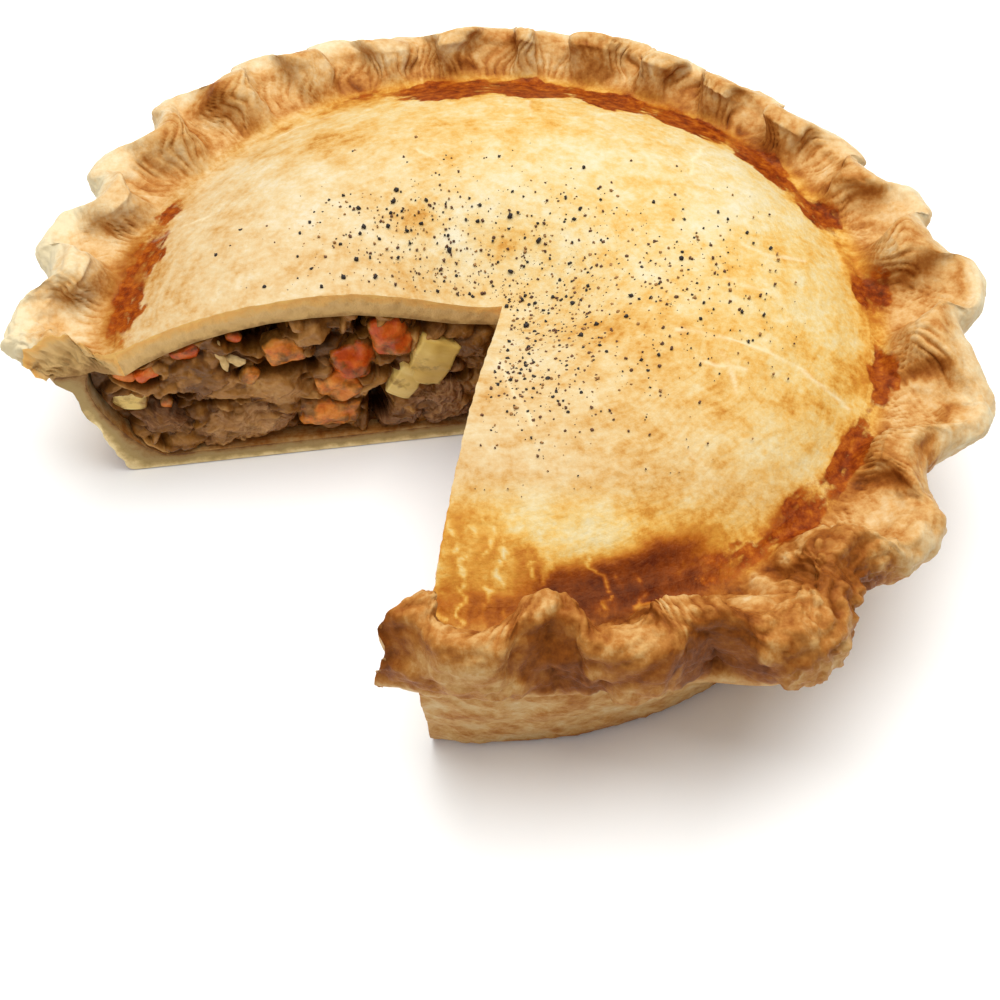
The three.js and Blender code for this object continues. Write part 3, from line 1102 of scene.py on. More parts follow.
@dataclass(frozen=True)
class RimBakeAndShade:
    """How much darker each feature makes the rim, or how much paler by the names that say so. The hollow,
    crease and wrinkle terms are painted shade over some real browning, the fold terms are painted light and
    shade on the folds, and the front's outer-face terms are partly painted shade.
    """

    plain: float = 0.36
    most: float = 0.8
    patchy: float = 0.15
    mottled: float = 0.06
    front: float = 0.26
    # Painted shade: the rim is darkened in its hollows and paled on what stands out, over some real browning
    # in the hollows.
    hollow: float = 0.1
    front_hollow_shade: float = 0.03
    hollow_limits: Pair = (-1.3, 1.2)
    # Painted shade in the folds' sharp creases, over some real browning there; less of it behind.
    crease: float = 0.32
    paler_crease_behind: float = 0.24
    # Painted light and shade on the folds: behind, the pressed-in folds are painted paler against their shade
    # and the leaning ones darker; elsewhere the pressed-in folds are painted a little darker.
    pressed_folds_lit_behind: float = 0.1
    pressed_folds_shaded: float = 0.03
    inner_behind: float = 0.1
    # Painted shade in the grooves of the fine wrinkles.
    wrinkle_shade: float = 0.16
    paler_left: float = 0.16
    ridge: float = 0.05
    paler_front_crest: float = 0.08
    front_streaks: float = 0.15
    paler_outside: float = 0.22
    # Partly painted shade: the front's outer face, which faces away from the key lamp, is kept darker than
    # the other outer faces, over real browning there.
    front_outside_shade: float = 0.24
    paler_front_foot: float = 0.16
    crumble: float = 0.04
    # Partly painted shade: the front's outer face is darker, and darker still in the creases between its
    # folds.
    front_face: float = 0.1
    front_crease_shade: float = 0.26
    by_cut: float = 0.1


@dataclass
class LidCrust:
    """The pastry lid: a dome and the fluted rim round it, each a closed mesh with its two cut ends."""

    form: PieForm
    baking: RimBakeAndShade = RimBakeAndShade()
    dome_columns: int = 560
    dome_rows: int = 150
    dome_closer: float = 1.35
    dome_under_rows: int = 10
    rim_columns: int = 1150
    rim_rows: int = 76
    rim_under_rows: int = 6
    cut_layers: int = 10
    crumb_depth: float = 7.0
    cut_grain: float = 3.0
    torn_bake: float = 0.52
    dome_waves: tuple[Pair, ...] = ((30.0, 0.6), (12.0, 0.3), (5.0, 0.14), (2.4, 0.06))
    fillet: float = 4.5
    fold_shifts: tuple[Pair, ...] = (
        (0.0, 0.0), (2.2, 0.0), (2.8, -1.8), (2.4, -0.8), (2.0, -0.4),
        (1.2, 0.0), (0.3, 0.0), (0.1, 0.0), (0.0, 0.0),
    )
    fold_sharpness: float = 0.9
    meander: float = 2.2
    still_end: float = 9.0
    slant_angle: float = -16.0
    slant_spread: float = 24.0
    merge_down: float = 6.5
    wrinkle_gap: float = 2.5
    wrinkle_depth: float = 0.75
    wander: float = 5.0
    calm_front: float = 0.6
    crest_lumps: float = 0.9
    crumbly: float = 1.3
    crease_at: float = 0.24
    crease_wide: float = 0.05
    crease_depth: float = 1.0
    flake_gap: float = 2.1
    flake_depth: float = 0.3
    lump_size: float = 10.0
    lump_depth: float = 0.7
    crumble_angle: float = -52.0
    crumble_spread: float = 10.0
    crumble_size: float = 4.6
    crumble_depth: float = 1.4
    outer_lobe: float = 1.2
    front_lobe: float = 2.4
    ridge: float = 0.5
    front_angle: float = 290.0
    front_spread: float = 36.0
    pale_angle: float = 172.0
    pale_spread: float = 22.0
    brown_spread: float = 17.0
    left_crumble_spread: float = 14.0
    ragged_turn: float = 1.3
    pointed_turn: float = 2.6
    cracks: tuple[tuple[Pair, ...], ...] = (
        ((60.0, 59.0), (57.0, 53.0), (54.5, 47.0), (53.5, 40.0)),
        ((30.0, 69.0), (36.0, 73.0), (43.0, 74.5)),
        ((10.0, 76.0), (11.5, 66.0)),
        ((45.0, -19.5), (54.0, -21.0), (67.0, -24.5), (77.5, -30.0), (86.0, -35.0)),
        ((50.0, -30.0), (60.0, -30.5)),
        ((55.0, -26.0), (57.5, -37.5)),
        ((2.0, -26.0), (5.0, -37.0), (9.5, -50.0)),
        ((42.0, -50.0), (46.0, -57.0), (51.0, -62.0)),
        ((58.0, -1.0), (64.0, -3.0), (71.0, -6.0)),
        ((-89.0, 25.0), (-82.0, 27.5), (-74.0, 28.0)),
        ((-60.0, 68.0), (-51.0, 73.0), (-41.0, 76.0)),
        ((-20.0, 49.0), (-12.0, 42.0)),
        ((64.0, 12.0), (72.0, 9.0), (80.0, 11.0)),
        ((70.0, -14.0), (78.0, -10.0)),
    )
    # Angles of pale threads in the glaze, partly thin glaze and partly painted highlight.
    amber_glint_threads: tuple[float, ...] = (263.0, 265.5, 269.0, 272.0, 276.5, 278.5, 285.5, 291.0)
    amber_radius: float = 85.0
    crack_wide: float = 0.55
    crack_strength: float = 0.62
    patches: tuple[ToastedPatch, ...] = tuple(
        ToastedPatch(*row)
        for row in (
            (-72.0, 5.0, 24.0, 18.0, 0.05), (62.0, -34.0, 28.0, 16.0, 0.15), (66.0, 0.0, 18.0, 22.0, 0.1),
            (25.0, -52.0, 44.0, 20.0, 0.03), (-5.0, -80.0, 8.0, 16.0, 0.05),
            (45.0, -66.0, 22.0, 10.0, 0.14), (16.0, 62.0, 5.0, 4.0, 0.2), (42.0, 34.0, 6.0, 4.0, 0.18),
            (2.5, 16.0, 6.0, 5.0, 0.3), (36.0, -17.0, 14.0, 4.0, 0.2), (30.0, -26.0, 12.0, 6.0, 0.12),
            (-19.0, 22.0, 5.0, 4.0, 0.26), (-45.0, 57.0, 9.0, 6.0, 0.18), (15.0, 62.0, 46.0, 16.0, 0.1),
            (52.0, 38.0, 26.0, 26.0, -0.1), (18.0, -6.0, 26.0, 14.0, 0.06),
        )
    )
    spots: tuple[ToastedSpot, ...] = tuple(
        ToastedSpot(*row)
        for row in (
            (24.0, 0.34, 2.6, 0.1, 0.26), (40.0, 0.28, 2.4, 0.09, 0.26), (57.5, 0.3, 3.2, 0.1, 0.22),
            (73.5, 0.32, 2.0, 0.1, 0.2), (88.0, 0.38, 2.2, 0.12, 0.2), (94.0, 0.2, 1.5, 0.06, 0.3),
            (134.5, 0.5, 2.4, 0.12, 0.36), (150.0, 0.3, 6.0, 0.14, 0.1), (163.0, 0.3, 3.0, 0.09, 0.18),
            (180.0, 0.4, 3.0, 0.1, 0.16), (3.0, 0.6, 1.6, 0.05, 0.26), (-19.0, 0.46, 2.4, 0.05, 0.26),
            (-31.0, 0.3, 1.8, 0.14, 0.26), (-50.0, 0.34, 8.0, 0.05, 0.26), (-73.0, 0.62, 4.0, 0.1, 0.24),
            (-88.0, 0.34, 4.0, 0.07, 0.32), (-97.0, 0.43, 4.0, 0.07, 0.12), (-79.0, 0.45, 4.0, 0.05, 0.08),
            (-61.0, 0.44, 4.0, 0.05, 0.08),
        )
    )
    groove_marks: tuple[GrooveMark, ...] = tuple(
        GrooveMark(*row)
        for row in (
            (99.0, 10.0, 1.3, -16.0, 1.5), (84.0, 10.0, 1.25, -15.0, 2.0), (68.0, 10.0, 1.15, -12.5, 2.5),
            (53.0, 10.0, 1.05, -9.5, 3.0), (37.0, 9.0, 1.1, -6.0, 3.0), (23.0, 7.0, 0.9, -4.5, 4.0),
            (4.0, 5.0, 0.95, -2.0, 7.0), (-14.0, 7.5, 1.05, 0.0, 5.5), (-31.0, 10.0, 1.0, -1.5, 6.0),
            (-44.0, 9.0, 0.95, -2.5, 5.0), (-55.0, 10.0, 0.7, -2.0, 4.0), (113.0, 6.0, 0.62, 0.0, 4.0),
            (157.5, 4.5, 0.8, -3.0, 3.0), (168.0, 9.0, 0.85, -6.5, 1.5), (180.0, 9.0, 0.85, -6.5, 2.0),
        )
    )

    def __post_init__(self) -> None:
        """Draws the noises that its relief and its baking read."""
        self.wave = Noise(21)
        self.other_wave = Noise(22)

    def front(self, angle: Array) -> Array:
        """1 at the front of the rim, where it is browned and lumpy, and 0 behind."""
        return near_angle(angle, self.front_angle, self.front_spread)

    def dome_relief(self, x: Array, y: Array) -> Array:
        """How far the lid stands above its plain form, by place in plan."""
        return sum(size * self.wave(x / length, y / length) for length, size in self.dome_waves)

    def fillet_height(self, past_groove: Array) -> Array:
        """How far the groove is filled, so that the lid flows round into the rim's foot.

        Args:
            past_groove: Millimetres outwards of the groove.

        Returns:
            Millimetres upwards.
        """
        form = self.form
        bend = form.shoulder_power * form.lid_rise / form.groove_radius + form.foot_up / form.foot_out
        return np.maximum(self.fillet - bend * np.abs(past_groove), 0.0) ** 2 / (4.0 * self.fillet)

    def fold_wave(self, turns: Array) -> Array:
        """1 where a fold leans out and -1 where it is pressed in, squarer than a plain wave."""
        return np.tanh(self.fold_sharpness * np.cos(2.0 * np.pi * turns)) / math.tanh(self.fold_sharpness)

    def fold_turns(self, angle: Array, share: Array) -> Array:
        """How many folds have passed at places on the rim, by angle and share of the section."""
        return self.form.flute_turns(angle)[:, None] + self.form.twist * (1.3 - share)

    def folds(self, angle: Array) -> Array:
        """Shifts of the rim's leading points that make its folds fuller than plain waves.

        Args:
            angle: Angles round the pie.

        Returns:
            Shifts of radius and height, of shape (angles, 9, 2).
        """
        form = self.form
        turns = form.flute_turns(angle) + form.twist
        plain = np.cos(2.0 * np.pi * turns)
        full = self.fold_wave(turns)
        front = self.front(angle)
        strength = 0.25 + 0.95 * form.widening(angle) - front
        strength = strength * (1.0 + 0.4 * wobble(0.9 * turns + 3.3))
        shifts = (strength * full)[:, None, None] * np.array(self.fold_shifts)
        sway = form.sway(angle)
        for point in (3, 4, 5):
            shifts[:, point, 0] += sway * (full - plain)
            shifts[:, point, 1] -= form.crest_nod * (full - plain)
        calmed = self.calm_front * front * form.flute_wave(turns)
        lifted = form.crest_nod * calmed + self.crest_lumps * wobble(2.3 * turns + 5.0)
        for point, outwards, upwards in ((2, 0.55, 0.66), (3, 1.0, 1.0), (4, 1.0, 1.0), (5, 0.4, 1.0)):
            shifts[:, point, 0] -= outwards * sway * calmed
            shifts[:, point, 1] += upwards * lifted
        shifts[:, 7, 1] -= 0.4 * self.merge_down * front
        shifts[:, 8, 1] -= self.merge_down * front
        return shifts

    def sideways(self, angle: Array, share: Array) -> Array:
        """Turns that widen the folds' heads along the rim, so that they overhang their necks.

        Args:
            angle: Angles round the pie.
            share: Shares of the section, of shape (angles, rows).

        Returns:
            Turns in degrees, of the same shape as share.
        """
        form = self.form
        turns = form.flute_turns(angle) + form.twist
        last = form.cut_from + TURN
        ends = window(angle, (form.cut_to, form.cut_to + self.still_end), (last - self.still_end, last))
        strength = 0.35 + 0.9 * form.widening(angle) - 0.7 * self.front(angle)
        strength = strength * (1.0 + 0.4 * wobble(1.1 * turns + 8.8))
        shift = self.meander * ends * strength * np.sin(4.0 * np.pi * turns)
        head = window(share, (0.06, 0.4), (0.6, 0.95))
        place = np.radians(angle)[:, None] * form.rim_reach + 0.0 * share
        wander = self.wander * (1.4 - 0.7 * form.widening(angle)) * ends
        wander = wander[:, None] * self.wave.layers(place / 15.0, 2.2 * share, 9.1, count=2)
        return np.degrees((shift[:, None] + wander) * head / form.rim_reach)

    def weave(self, angle: Array, round_rim: Array, across: Array) -> Array:
        """Coordinates that the rim's wrinkles follow, in millimetres: across the wrinkles and along them.

        Args:
            angle: Angles round the pie.
            round_rim: Millimetres round the rim.
            across: Millimetres from the groove along the section.

        Returns:
            The coordinates, of shape (angles, rows, 3).
        """
        level = np.full_like(across, 3.1)
        bend = 5.0 * self.wave.layers(round_rim / 16.0, across / 14.0, level, count=2)
        slant = 0.15 + 0.75 * near_angle(angle, self.slant_angle, self.slant_spread)[:, None]
        return np.stack([round_rim + slant * across + bend, across, level], axis=-1)

    def wrinkles(self, weave: Array) -> Array:
        """Fine wrinkles across the rim, from 0 between them to 1 in their grooves.

        Args:
            weave: Coordinates that they follow.

        Returns:
            Their strength at each place.
        """
        past, along, level = weave[..., 0], weave[..., 1], weave[..., 2]
        jitter = 0.5 * self.other_wave(past / 5.0, along / 9.0, level)
        groove = np.exp(-((np.sin(np.pi * (past / self.wrinkle_gap + jitter)) / 0.45) ** 2))
        return groove * smooth_step(self.other_wave(past / 12.0, along / 10.0, level + 2.0), -0.4, 0.3)

    def crease(self, turns: Array) -> Array:
        """1 in the sharp crease on one side of each pressed fold, less on its other side, and 0 elsewhere.

        Args:
            turns: Folds that have passed.

        Returns:
            The crease's strength at each place.
        """
        part = turns - np.floor(turns)
        other = hump(part, 1.0 - self.crease_at, self.crease_wide)
        return hump(part, self.crease_at, self.crease_wide) + 0.6 * other

    def rim_relief(self, angle: Array, round_rim: Array, across: Array, share: Array, height: Array) -> Array:
        """How far the rim stands off its plain form: creases, lumps, wrinkles and flaky layers.

        Args:
            angle: Angles round the pie.
            round_rim: Millimetres round the rim.
            across: Millimetres from the groove along the section.
            share: The same as a share of the section.
            height: Heights of the plain form.

        Returns:
            Millimetres along the surface's normal.
        """
        turns = self.fold_turns(angle, share)
        inner = window(share, (0.08, 0.2), (0.4, 0.52))
        outer = window(share, (0.6, 0.74), (0.86, 0.98))
        ends = window(share, (0.04, 0.18), (0.9, 1.0))
        front = self.front(angle)[:, None]
        lumps = self.wave.layers(round_rim / self.lump_size, across / self.lump_size, height / 30.0, count=3)
        relief = self.lump_depth * (0.7 + 1.5 * front) * ends * (1.5 * np.abs(lumps) - 0.5)
        relief += self.ridge * hump(share, 0.47, 0.05)
        creased = inner * self.crease(turns) * (0.3 + 0.9 * self.form.widening(angle)[:, None])
        relief -= self.crease_depth * creased * (0.7 + 0.6 * wobble(1.9 * np.floor(turns)))
        wrinkles = self.wrinkles(self.weave(angle, round_rim, across))
        relief -= self.wrinkle_depth * (0.2 + 0.8 * inner) * ends * wrinkles
        fine = self.other_wave.layers(round_rim / 3.0, across / 3.0, height / 9.0, count=2)
        relief += (0.18 + 0.4 * front) * ends * fine
        ledge = height / self.flake_gap + 0.9 * self.wave(round_rim / 18.0, across / 20.0, height / 20.0)
        stepped = np.abs(2.0 * (ledge - np.round(ledge))) - 0.5
        relief += self.flake_depth * (1.0 - 0.8 * front) * outer * stepped
        strength = 0.75 + 0.45 * wobble(np.round(turns) * 1.7)
        fold = np.abs(np.cos(np.pi * turns))
        relief += self.outer_lobe * outer * strength * (2.0 * fold**0.8 - 1.4)
        relief += self.front_lobe * self.front_face(angle, share) * (2.0 * fold**0.6 - 1.4)
        return relief + self.crumble(angle, share) * self.crumbs(round_rim, across)

    def front_face(self, angle: Array, share: Array) -> Array:
        """1 on the outer face of the front of the rim, where the folds run down it, and 0 elsewhere."""
        return self.front(angle)[:, None] * window(share, (0.42, 0.56), (0.84, 0.96))

    def crumble(self, angle: Array, share: Array) -> Array:
        """1 where the rim has broken into crumbs: at the front right, and less by the left cut.

        Args:
            angle: Angles round the pie.
            share: Shares of the section, of shape (angles, rows).

        Returns:
            The strength at each place.
        """
        right = near_angle(angle, self.crumble_angle, self.crumble_spread)
        left = 0.7 * near_angle(angle, self.form.cut_from, self.left_crumble_spread)
        return (right + left)[:, None] * window(share, (0.3, 0.42), (0.82, 0.95))

    def crumbs(self, round_rim: Array, across: Array) -> Array:
        """Heights of rounded crumbs with creases between them, in millimetres.

        Args:
            round_rim: Millimetres round the rim.
            across: Millimetres from the groove along the section.

        Returns:
            The height at each place.
        """
        size = self.crumble_size
        lumps = self.other_wave.layers(round_rim / size, across / size, 6.6, count=3)
        return self.crumble_depth * (2.0 * np.abs(lumps) - 0.6)

    def dome_bake(self, x: Array, y: Array, radius: Array, angle: Array) -> Array:
        """How far the lid has baked inside the groove, from 0 to 1.

        Args:
            x: Places in plan.
            y: Places in plan.
            radius: Radii of those places.
            angle: Angles of those places.

        Returns:
            The baking at each place.
        """
        bake = 0.27 + 0.13 * self.wave.layers(x / 22.0, y / 18.0, count=4)
        bake += 0.09 * self.other_wave.layers(x / 6.0, y / 6.0, count=3)
        bake += 0.06 * self.wave.layers(x / 2.0, y / 2.0, count=2)
        for patch in self.patches:
            bake += patch.read(x, y)
        bake += 0.12 * smooth_step(radius, 78.0, 92.0)
        amber = self.amber(radius, angle)
        return bake + (self.amber_bake(radius, angle) - bake) * amber

    def tan(self, x: Array, y: Array) -> Array:
        """1 where the lid has baked to tan, at the front and left, and 0 where it is gold or glazed."""
        glazed = smooth_step(-y, 62.0, 76.0)
        return (1.0 - glazed) * (1.0 - smooth_step(0.75 * x + 0.65 * y, -45.0, 55.0))

    def crack(self, x: Array, y: Array) -> Array:
        """Where the lid's glaze has cracked, from 0 to 1.

        Args:
            x: Places in plan.
            y: Places in plan.

        Returns:
            The strength of the cracks at each place.
        """
        wander_x = x + 0.9 * self.wave.layers(x / 5.0, y / 5.0, count=3)
        wander_y = y + 0.9 * self.other_wave.layers(x / 5.0, y / 5.0, count=3)
        total = np.zeros_like(x)
        for line in self.cracks:
            for (from_x, from_y), (to_x, to_y) in itertools.pairwise(line):
                way_x, way_y = to_x - from_x, to_y - from_y
                along = ((wander_x - from_x) * way_x + (wander_y - from_y) * way_y) / (way_x**2 + way_y**2)
                along = np.clip(along, 0.0, 1.0)
                away = np.hypot(wander_x - from_x - along * way_x, wander_y - from_y - along * way_y)
                total = np.maximum(total, hump(away, 0.0, self.crack_wide))
        faint = smooth_step(self.wave(x / 7.0, y / 7.0), -0.5, 0.3)
        return self.crack_strength * total * (0.25 + 0.75 * faint)

    def amber(self, radius: Array, angle: Array) -> Array:
        """1 in the glazed band along the front of the groove, with a ragged inner edge, and 0 elsewhere.

        Args:
            radius: Radii of places on the lid.
            angle: Angles of those places.

        Returns:
            The share of glaze at each place.
        """
        away = turn_between(angle, self.front_angle)
        round_dome = np.radians(angle) * self.amber_radius
        edge = 83.0 - 14.0 * (1.0 - smooth_step(away, -24.0, -11.0))
        edge = edge + 1.6 * self.wave.layers(round_dome / 9.0, radius / 9.0, count=3)
        there = window(away, (-50.0, -40.0), (6.0, 20.0))
        return there * smooth_step(radius, edge - 4.0, edge + 5.0)

    def amber_bake(self, radius: Array, angle: Array) -> Array:
        """How far the glazed band has baked: orange by the cut and brown further on, with pale filaments that
        are partly thin glaze and partly painted highlight.

        Args:
            radius: Radii of places on the lid.
            angle: Angles of those places.

        Returns:
            The baking at each place.
        """
        away = turn_between(angle, self.front_angle)
        round_dome = np.radians(angle) * self.amber_radius
        streak = self.other_wave.layers(round_dome / 4.0, radius / 12.0, count=3)
        bend = 2.4 * self.wave.layers(round_dome / 6.0, radius / 6.0, count=3)
        # Pale threads: partly thin glaze, partly painted highlight.
        glint_thread = sum(hump(turn_between(angle, place) + bend, 0.0, 0.4) for place in self.amber_glint_threads)
        broken = self.other_wave.layers(round_dome / 4.0, radius / 7.0, count=2)
        glint_thread = glint_thread * smooth_step(broken, -0.4, 0.3)
        brown = smooth_step(away, -20.0, -8.0)
        strip = 0.2 * brown * hump(radius, 88.0, 4.0)
        return 0.62 + 0.13 * brown + strip + 0.07 * streak - 0.32 * np.minimum(glint_thread, 1.0)

    def groove_toast(self, angle: Array, across: Array) -> Array:
        """Dark toasting at the rim's foot, by millimetres outwards from the groove, from 0 to 1.

        Args:
            angle: Angles round the pie.
            across: Millimetres outwards of the groove.

        Returns:
            The toasting at each place.
        """
        round_groove = np.radians(angle) * self.form.groove_radius
        level = 1.4
        ragged = 2.2 * self.other_wave.layers(round_groove / 8.0, across / 5.0, level, count=3)
        total = np.zeros_like(across)
        for mark in self.groove_marks:
            total = np.maximum(total, mark.read(angle, across, ragged))
        return total * (0.95 + 0.4 * self.wave.layers(round_groove / 9.0, across / 2.0, level, count=3))

    def groove_warmth(self, angle: Array, across: Array) -> Array:
        """Extra baking all along the groove, round the toasted marks.

        Args:
            angle: Angles round the pie.
            across: Millimetres outwards of the groove.

        Returns:
            The extra baking at each place.
        """
        round_groove = np.radians(angle) * self.form.groove_radius
        level = 4.7
        wander = 1.5 * self.other_wave.layers(round_groove / 10.0, across / 6.0, level, count=3)
        band = window(across + wander, (-5.0, 0.0), (4.0, 9.0))
        behind = near_angle(angle, 62.0, 50.0) + near_angle(angle, 174.0, 20.0)
        patchy = self.wave.layers(round_groove / 25.0, across / 9.0, level, count=2)
        return band * (0.14 + 0.14 * behind + 0.08 * patchy)

    def rim_bake_and_shade(self, angle: Array, round_rim: Array, across: Array, share: Array, relief: Array) -> Array:
        """How far the rim has baked, from 0 to 1, paler on its outer edge, with painted shade darkening its
        hollows, creases and wrinkles and painted light and shade on its folds.

        Args:
            angle: Angles round the pie.
            round_rim: Millimetres round the rim.
            across: Millimetres from the groove along the section.
            share: The same as a share of the section.
            relief: How far the rim stands off its plain form.

        Returns:
            The baking, with its painted light and shade, at each place.
        """
        how = self.baking
        front = self.front(angle)[:, None]
        turns = self.fold_turns(angle, share)
        inner = window(share, (0.08, 0.2), (0.42, 0.55))
        bake = how.plain + how.patchy * self.other_wave.layers(round_rim / 11.0, across / 11.0, count=4)
        bake += how.mottled * self.wave.layers(round_rim / 2.5, across / 4.0, count=2)
        # Painted shade: darker in the hollows and paler on what stands out, over some real browning in the
        # hollows.
        raised = np.clip(relief, *how.hollow_limits)
        bake += how.front * front - (how.hollow + how.front_hollow_shade * front) * raised
        behind = 1.0 - self.form.widening(angle)[:, None]
        # Painted shade in the folds' creases, over some real browning there.
        bake += inner * (how.crease - how.paler_crease_behind * behind) * self.crease(turns)
        # Painted light and shade on the folds: paler pressed-in folds behind, against their shade, and
        # slightly darker pressed-in folds elsewhere.
        folded = inner * (how.pressed_folds_lit_behind * behind - how.pressed_folds_shaded) * self.fold_wave(turns)
        bake += folded + how.inner_behind * inner * behind
        # Painted shade in the wrinkles' grooves.
        bake += how.wrinkle_shade * inner * (self.wrinkles(self.weave(angle, round_rim, across)) - 0.3)
        bake -= how.paler_left * near_angle(angle, self.pale_angle, self.pale_spread)[:, None]
        bake += how.ridge * (1.0 + front) * hump(share, 0.47, 0.03)
        bake -= how.paler_front_crest * front * window(share, (0.24, 0.34), (0.48, 0.56))
        past, along = round_rim + 0.7 * across, across - 0.5 * round_rim
        bake += how.front_streaks * front * self.wave.layers(past / 4.5, along / 10.0, count=3)
        # The outer face is paler than the rest, except at the front, where it stays dark partly as painted
        # shade.
        bake -= (how.paler_outside - how.front_outside_shade * front) * smooth_step(share, 0.5, 0.62)
        bake -= how.paler_front_foot * front * smooth_step(share, 0.82, 0.95)
        bake += how.crumble * self.crumble(angle, share)
        fold = np.abs(np.cos(np.pi * turns))
        # Partly painted shade: browner on the front's outer face and darker in the creases between its folds.
        bake += self.front_face(angle, share) * (how.front_face + how.front_crease_shade * hump(fold, 0.0, 0.2))
        by_cut = near_angle(angle, self.form.cut_to, self.brown_spread)[:, None]
        bake += how.by_cut * by_cut * window(share, (0.42, 0.56), (0.84, 0.97))
        ragged = self.wave.layers(round_rim / 7.0, across / 7.0, 5.2, count=3)
        other = self.other_wave.layers(round_rim / 7.0, across / 7.0, 8.4, count=3)
        for spot in self.spots:
            bake += spot.read(angle[:, None] + 1.8 * ragged, share + 0.07 * other)
        return np.minimum(bake, how.most)

    def build(self, materials: list[Material]) -> None:
        """Makes the dome's mesh and the rim's mesh.

        Args:
            materials: The baked finish and the cut one.
        """
        self.build_dome(materials)
        self.build_rim(materials)

    def placed(self, radius: Array, height: Array, angle: Array) -> Array:
        """Points at radii, heights and angles, turned back and ragged at the torn end of the rim.

        Args:
            radius: Radii round the pie.
            height: Heights.
            angle: Angles, of the same shape.

        Returns:
            Points of shape (angles, rows, 3).
        """
        past = angle - self.form.cut_to
        outside = smooth_step(radius, self.form.torn_from, self.form.torn_from + self.form.torn_over)
        tears = self.wave.layers(radius / 6.0, height / 6.0, count=2)
        ragged = self.ragged_turn * tears * np.exp(-past / 3.0)
        low = smooth_step(radius, 106.0, 115.0) * (1.0 - smooth_step(height, 40.0, 50.0))
        pointed = self.pointed_turn * low * np.exp(-past / 4.0)
        grains = self.other_wave.layers(radius / 2.4, height / 2.4, count=3)
        before = self.form.cut_from + TURN - angle
        near_cut = 0.2 * np.exp(-past / 0.8) + (0.2 + 0.8 * outside) * np.exp(-before / 1.2)
        crumbly = self.crumbly * grains * near_cut * smooth_step(radius, 6.0, 20.0)
        turned = angle - self.form.torn_turn(radius, angle) - outside * (ragged + pointed)
        x, y = self.form.plan(radius, turned + np.degrees(crumbly / np.maximum(radius, 6.0)))
        return np.stack([x, y, height], axis=-1)

    def build_dome(self, materials: list[Material]) -> None:
        """Makes the dome inside the groove.

        Args:
            materials: The baked finish and the cut one.
        """
        form = self.form
        angle = form.angles(self.dome_columns)
        groove = form.rim_points(angle)[:, :1, 0]
        share = 1.0 - (1.0 - np.linspace(0.0, 1.0, self.dome_rows + 1)[None, :]) ** self.dome_closer
        radius = groove * share
        wide_angle = np.broadcast_to(angle[:, None], radius.shape)
        plain = self.placed(radius, form.lid_top(radius) + self.fillet_height(radius - groove), wide_angle)
        x, y = plain[..., 0], plain[..., 1]
        upper = plain + self.dome_relief(x, y)[..., None] * np.array([0.0, 0.0, 1.0])
        across = radius - groove
        toast = self.groove_toast(wide_angle, across)
        bake = self.dome_bake(x, y, radius, wide_angle) + self.groove_warmth(wide_angle, across)
        values = {
            "bake": bake + 0.15 * np.clip(toast, 0.0, 1.0),
            "toast": toast,
            "tan": self.tan(x, y),
            "crack": self.crack(x, y),
            "gloss": self.gloss(bake, np.zeros_like(bake)),
            "grain": self.brushed(x, y, radius),
        }
        lower_radius = form.inner_edge * share * np.ones_like(groove)
        lower = self.placed(lower_radius, form.lid_under(lower_radius), wide_angle)
        self.make("lid_dome", upper, lower, values, self.dome_under_rows, True, materials)

    def brushed(self, x: Array, y: Array, radius: Array) -> Array:
        """Coordinates that the streaks in the glaze follow, in millimetres: across them and along them."""
        bend = 6.0 * self.wave.layers(x / 25.0, y / 25.0, count=2)
        return np.stack([radius + bend, 0.7 * x - 0.7 * y, np.zeros_like(x)], axis=-1)

    def build_rim(self, materials: list[Material]) -> None:
        """Makes the fluted rim.

        Args:
            materials: The baked finish and the cut one.
        """
        form = self.form
        angle = form.angles(self.rim_columns)
        leading = form.rim_points(angle) + self.folds(angle)
        section = through_points(leading, self.rim_rows)
        section[..., 1] += self.fillet_height(section[..., 0] - leading[:, :1, 0])
        steps = np.linalg.norm(np.diff(section, axis=1), axis=-1)
        across = np.concatenate([np.zeros((len(angle), 1)), np.cumsum(steps, axis=1)], axis=1)
        share = across / across[:, -1:]
        wide_angle = np.broadcast_to(angle[:, None], share.shape)
        round_rim = np.radians(wide_angle) * form.rim_reach
        plain = self.placed(section[..., 0], section[..., 1], wide_angle + self.sideways(angle, share))
        relief = self.rim_relief(angle, round_rim, across, share, section[..., 1])
        settled = self.dome_relief(plain[..., 0], plain[..., 1]) * (1.0 - smooth_step(share, 0.0, 0.15))
        upper = plain + relief[..., None] * grid_normals(plain)
        upper[..., 2] += settled
        on_rim = smooth_step(across, 2.0, 7.0)
        past_groove = section[..., 0] - leading[:, :1, 0]
        toast = self.groove_toast(wide_angle, past_groove) * (1.0 - smooth_step(share, 0.2, 0.3))
        dome_bake = self.dome_bake(upper[..., 0], upper[..., 1], section[..., 0], wide_angle)
